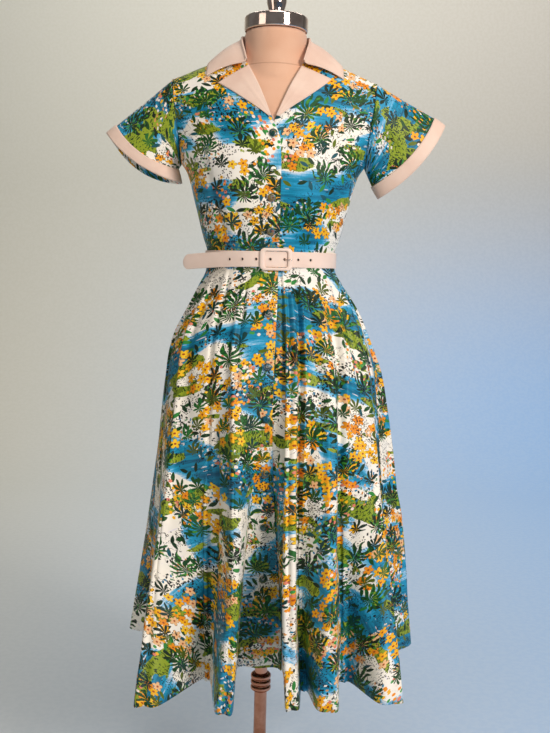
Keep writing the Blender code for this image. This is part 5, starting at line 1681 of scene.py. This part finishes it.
def make_stand():
    foot = CAP_TOP_Z + 0.006
    cap = [(0.0, foot), (0.030, CAP_TOP_Z + 0.005), (0.052, CAP_TOP_Z + 0.0015)]
    cap += [(CAP_RADIUS - 0.0015, CAP_TOP_Z - 0.0005), (CAP_RADIUS, CAP_TOP_Z - 0.003)]
    cap += [(CAP_RADIUS, CAP_BOTTOM_Z + 0.002), (CAP_RADIUS - 0.0015, CAP_BOTTOM_Z), (0.0, CAP_BOTTOM_Z)]
    keep(turned("chrome_cap", eased(cap, 0.002, 6), CHROME, centre=(0.0, NECK_Y)), "neck_cap")
    knob = [(radius, foot + STAND_GAP + height) for radius, height in KNOB]
    keep(turned("chrome_finial", eased(knob, 0.004, 6), CHROME, centre=(0.0, NECK_Y)), "finial")
    top, bottom = FORM_LOWER[0].z - STAND_GAP, BASE_TOP + STAND_GAP
    pole = [(0.0, top), (POLE_RADIUS, top), (POLE_RADIUS, bottom), (0.0, bottom)]
    keep(turned("steel_pole", eased(pole, 0.0008), STEEL), "pole")
    inner = POLE_RADIUS + STAND_GAP
    outline = [(inner, RING_TOP)]
    for k in range(RING_COUNT):
        top = RING_TOP - k * RING_HEIGHT
        outline += [(RING_WAIST, top), (RING_RADIUS, top - 0.25 * RING_HEIGHT)]
        outline += [(RING_RADIUS, top - 0.75 * RING_HEIGHT)]
    bottom = RING_TOP - RING_COUNT * RING_HEIGHT
    outline += [(RING_WAIST, bottom), (inner, bottom)]
    rings = turned("steel_rings", eased(outline, 0.0022, 5), STEEL, closed=True)
    keep(rings, "pole_collar")
    base = [(0.0, BASE_TOP), (0.020, BASE_TOP), (0.024, 0.022), (0.060, 0.017), (BASE_RADIUS - 0.012, 0.012)]
    base += [(BASE_RADIUS, 0.007), (BASE_RADIUS, 0.0), (0.0, 0.0)]
    keep(turned("steel_base", eased(base, 0.003, 6), STEEL, steps=128), "base")


make_form()
make_stand()


# ---------------------------------------------------------------- sewing
PLACKET_SEWN, LAPEL_SEWN, CUFF_SEWN, BELT_SEWN = 0.005, 0.004, 0.0025, 0.0022  # stitches from the edge
BELT_SEWN_FROM, BELT_SEWN_END, BELT_SEWN_STEPS = 0.040, 0.010, 150


def stitches(name, lines, look, pitch=0.0030, long=0.0020, thick=0.00032):
    """Rows of short thread stitches that lie on the cloth."""
    points, faces = [], []
    for line in lines:
        gone, due = 0.0, pitch
        for (here, out), (there, _) in zip(line, line[1:]):
            step = (there - here).length
            while gone + step >= due and step > 0:
                middle = here.lerp(there, (due - gone) / step) + out * thick * 0.5
                along = (there - here).normalized()
                across = along.cross(out).normalized()
                start = len(points)
                for reach in (along * long / 2, across * -thick, out * -thick):
                    points += [middle - reach, middle + reach]
                for a, b in ((2, 4), (4, 3), (3, 5), (5, 2)):
                    faces += [(start, start + b, start + a), (start + 1, start + a, start + b)]
                due += pitch
            gone += step
    return keep(add_piece(f"stitches_{name}", points, faces, look), None)


def white_stitches(name, made, edges, inset):
    lines = [line_inside(made, edge, inset) for edge in edges.split()]
    return stitches(name, lines, WHITE_THREAD)


def hem_stitches(made):
    name = made.piece.name.replace("cloth_", "")
    line = line_inside(made, "bottom", HEM_TURN)
    return stitches(name, [line], PRINT_THREAD, 0.0042, 0.0018)


def sew_belt():
    lines = []
    for height in (BELT_SEWN - BELT_HEIGHT / 2, BELT_HEIGHT / 2 - BELT_SEWN):
        line = []
        for k in range(BELT_SEWN_STEPS):
            length = lerp(BELT_SEWN_FROM, BELT_END + BELT_SEWN_END, k / (BELT_SEWN_STEPS - 1))
            near, far = (on_belt(length, height, BELT_OUTER + more) for more in (0.0, 0.001))
            out = (far - near).normalized()
            line.append((near + out * BELT_WALL / 2, out))
        lines.append(line)
    stitches("belt", lines, WHITE_THREAD)


hems = [hem_stitches(made) for made in (skirt_right, skirt_left, skirt_back_left, skirt_back_right)]
placket_edges = (bodice_right, "first"), (skirt_right, "last")
placket_lines = [line_inside(made, edge, PLACKET_SEWN) for made, edge in placket_edges]
placket = stitches("placket", placket_lines, PRINT_THREAD)
collar_sewn = white_stitches("collar", collar, "last first bottom", PLACKET_SEWN)
lapels_sewn = {name: white_stitches(f"lapel_{name}", lapels[name], "last top", LAPEL_SEWN) for name in lapels}
cuffs_sewn = {name: white_stitches(f"cuff_{name}", cuffs[name], "top bottom", CUFF_SEWN) for name in cuffs}
sew_belt()

# The size that each sheet is cut to, on the flat: what shows, and all round on a sleeve or cuff.
CUTS = table(
    "made width length area held rests_on sewn_on",
    [
        (bodice_right, 0.254, 0.447, 0.0790, "stretched", "form_body", placket),
        (bodice_left, 0.254, 0.446, 0.0790, "stretched", "form_body", None),
        (bodice_back, 0.452, 0.424, 0.1539, "stretched", "form_body", None),
        (skirt_right, 1.024, 0.817, 0.3809, "hung", "form_body", hems[0]),
        (skirt_left, 1.046, 0.815, 0.4130, "hung", "form_body", hems[1]),
        (skirt_back_left, 0.684, 0.814, 0.3009, "hung", "form_body", hems[2]),
        (skirt_back_right, 0.653, 0.807, 0.3087, "hung", "form_body", hems[3]),
        (sleeves["left"], 0.409, 0.148, 0.0426, "hung", "form_body", None),
        (sleeves["right"], 0.389, 0.159, 0.0376, "hung", "form_body", None),
        (cuffs["left"], 0.421, 0.026, 0.0104, "folded", "cloth_sleeve_left", cuffs_sewn["left"]),
        (cuffs["right"], 0.402, 0.026, 0.0084, "folded", "cloth_sleeve_right", cuffs_sewn["right"]),
        (collar, 0.114, 0.453, 0.0390, "folded", "cloth_bodice_back", collar_sewn),
        (lapels["left"], 0.059, 0.133, 0.0042, "folded", "cloth_bodice_front_left", lapels_sewn["left"]),
        (lapels["right"], 0.066, 0.122, 0.0041, "folded", "cloth_bodice_front_right", lapels_sewn["right"]),
    ],
)

# ---------------------------------------------------------------- stage, light and camera
CURVE_FROM, CURVE_RADIUS, CURVE_STEPS = 2.6, 1.6, 16  # where the floor starts to curve up, at the back
FLOOR_FRONT, FLOOR_HALF, BACKDROP_TOP = -12.0, 9.0, 5.5
LENS_PIXELS, LONG_SIDE, SENSOR = 950, 733, 36
PITCH, ROLL = math.radians(6.1), math.radians(1.4)
CAMERA_PLACE = (0.013, -1.81, 1.067)


def wall_look():
    """Pale paint, with painted light and shade: warmer to the left and cooler low on the right."""
    look = Look("painted_wall")
    place = look.object_place()
    axes = look.add("SeparateXYZ", {0: place}, None)
    # Painted light: the colour shifts across and up the wall as the light on it falls.
    right = look.mix(look.between(axes[2], 0.1, 2.0), "A2CAF8", "CAC6BA")
    colour = look.mix(look.between(axes[0], -1.9, 1.9), "D8D8CC", right)
    grain = look.noise(place, 60, 4.0)
    return look.done(
        Base_Color=look.mix(look.between(grain, 0.4, 0.6, 0.0, 0.06), colour, "FFFFFF"),
        Roughness=look.between(grain, 0.3, 0.7, 0.82, 0.92),
        Normal=look.bump(grain, 0.0006, 0.2),
    )


def sweep():
    """A floor that curves up into a backdrop, set far enough back to walk round the form."""
    profile = [(FLOOR_FRONT, 0.0)]
    for k in range(CURVE_STEPS + 1):
        angle = math.pi / 2 * k / CURVE_STEPS
        profile.append((CURVE_FROM + CURVE_RADIUS * math.sin(angle), CURVE_RADIUS * (1 - math.cos(angle))))
    profile.append((CURVE_FROM + CURVE_RADIUS, BACKDROP_TOP))
    points = [(x, y, z) for y, z in profile for x in (-FLOOR_HALF, FLOOR_HALF)]
    faces = [(2 * i, 2 * i + 1, 2 * i + 3, 2 * i + 2) for i in range(len(profile) - 1)]
    add_piece("floor_and_backdrop", points, faces, wall_look())


def light(name, place, target, size, power, colour):
    lamp = bpy.data.lights.new(name, "AREA")
    lamp.shape = "RECTANGLE"
    lamp.size, lamp.size_y = size
    lamp.energy, lamp.color = power, colour
    holder = bpy.data.objects.new(name, lamp)
    bpy.context.scene.collection.objects.link(holder)
    holder.location = place
    holder.rotation_mode = "QUATERNION"
    holder.rotation_quaternion = (Vector(target) - Vector(place)).to_track_quat("-Z", "Y")


def sight(u, v):
    """The direction to a place in the picture, which is pitched down and a little rolled."""
    x = u * math.cos(ROLL) - v * math.sin(ROLL)
    up = u * math.sin(ROLL) + v * math.cos(ROLL)
    return Vector((x, math.cos(PITCH) + up * math.sin(PITCH), -math.sin(PITCH) + up * math.cos(PITCH)))


sweep()
light("window_right", (1.7, -2.2, 1.9), (0, 0, 0.9), (0.8, 1.2), 69, (1.0, 0.89, 0.80))
light("fill_left", (-2.2, -1.8, 1.5), (0, 0, 0.9), (1.2, 1.6), 9, (1.0, 0.88, 0.78))
light("ceiling", (0.1, -0.9, 3.2), (0, 0.1, 0.8), (1.4, 1.0), 15, (1.0, 0.92, 0.86))
light("wall_wash", (0.5, 1.8, 4.0), (0.3, 4.2, 0.9), (4.0, 1.0), 96, (1.0, 0.96, 0.92))
world = bpy.data.worlds.new("studio")
bpy.context.scene.world = world
world.use_nodes = True
world.node_tree.nodes["Background"].inputs["Color"].default_value = (0.90, 0.88, 0.88, 1)
world.node_tree.nodes["Background"].inputs["Strength"].default_value = 0.15
bpy.context.scene.view_settings.view_transform = "Standard"

camera_data = bpy.data.cameras.new("camera")
camera_data.sensor_width = SENSOR
camera_data.lens = LENS_PIXELS / LONG_SIDE * SENSOR
camera = bpy.data.objects.new("camera", camera_data)
bpy.context.scene.collection.objects.link(camera)
ahead = sight(0, 0)
placing = Matrix((sight(1, 0) - ahead, sight(0, 1) - ahead, -ahead)).transposed().to_4x4()
placing.translation = Vector(CAMERA_PLACE)
camera.matrix_world = placing
bpy.context.scene.camera = camera
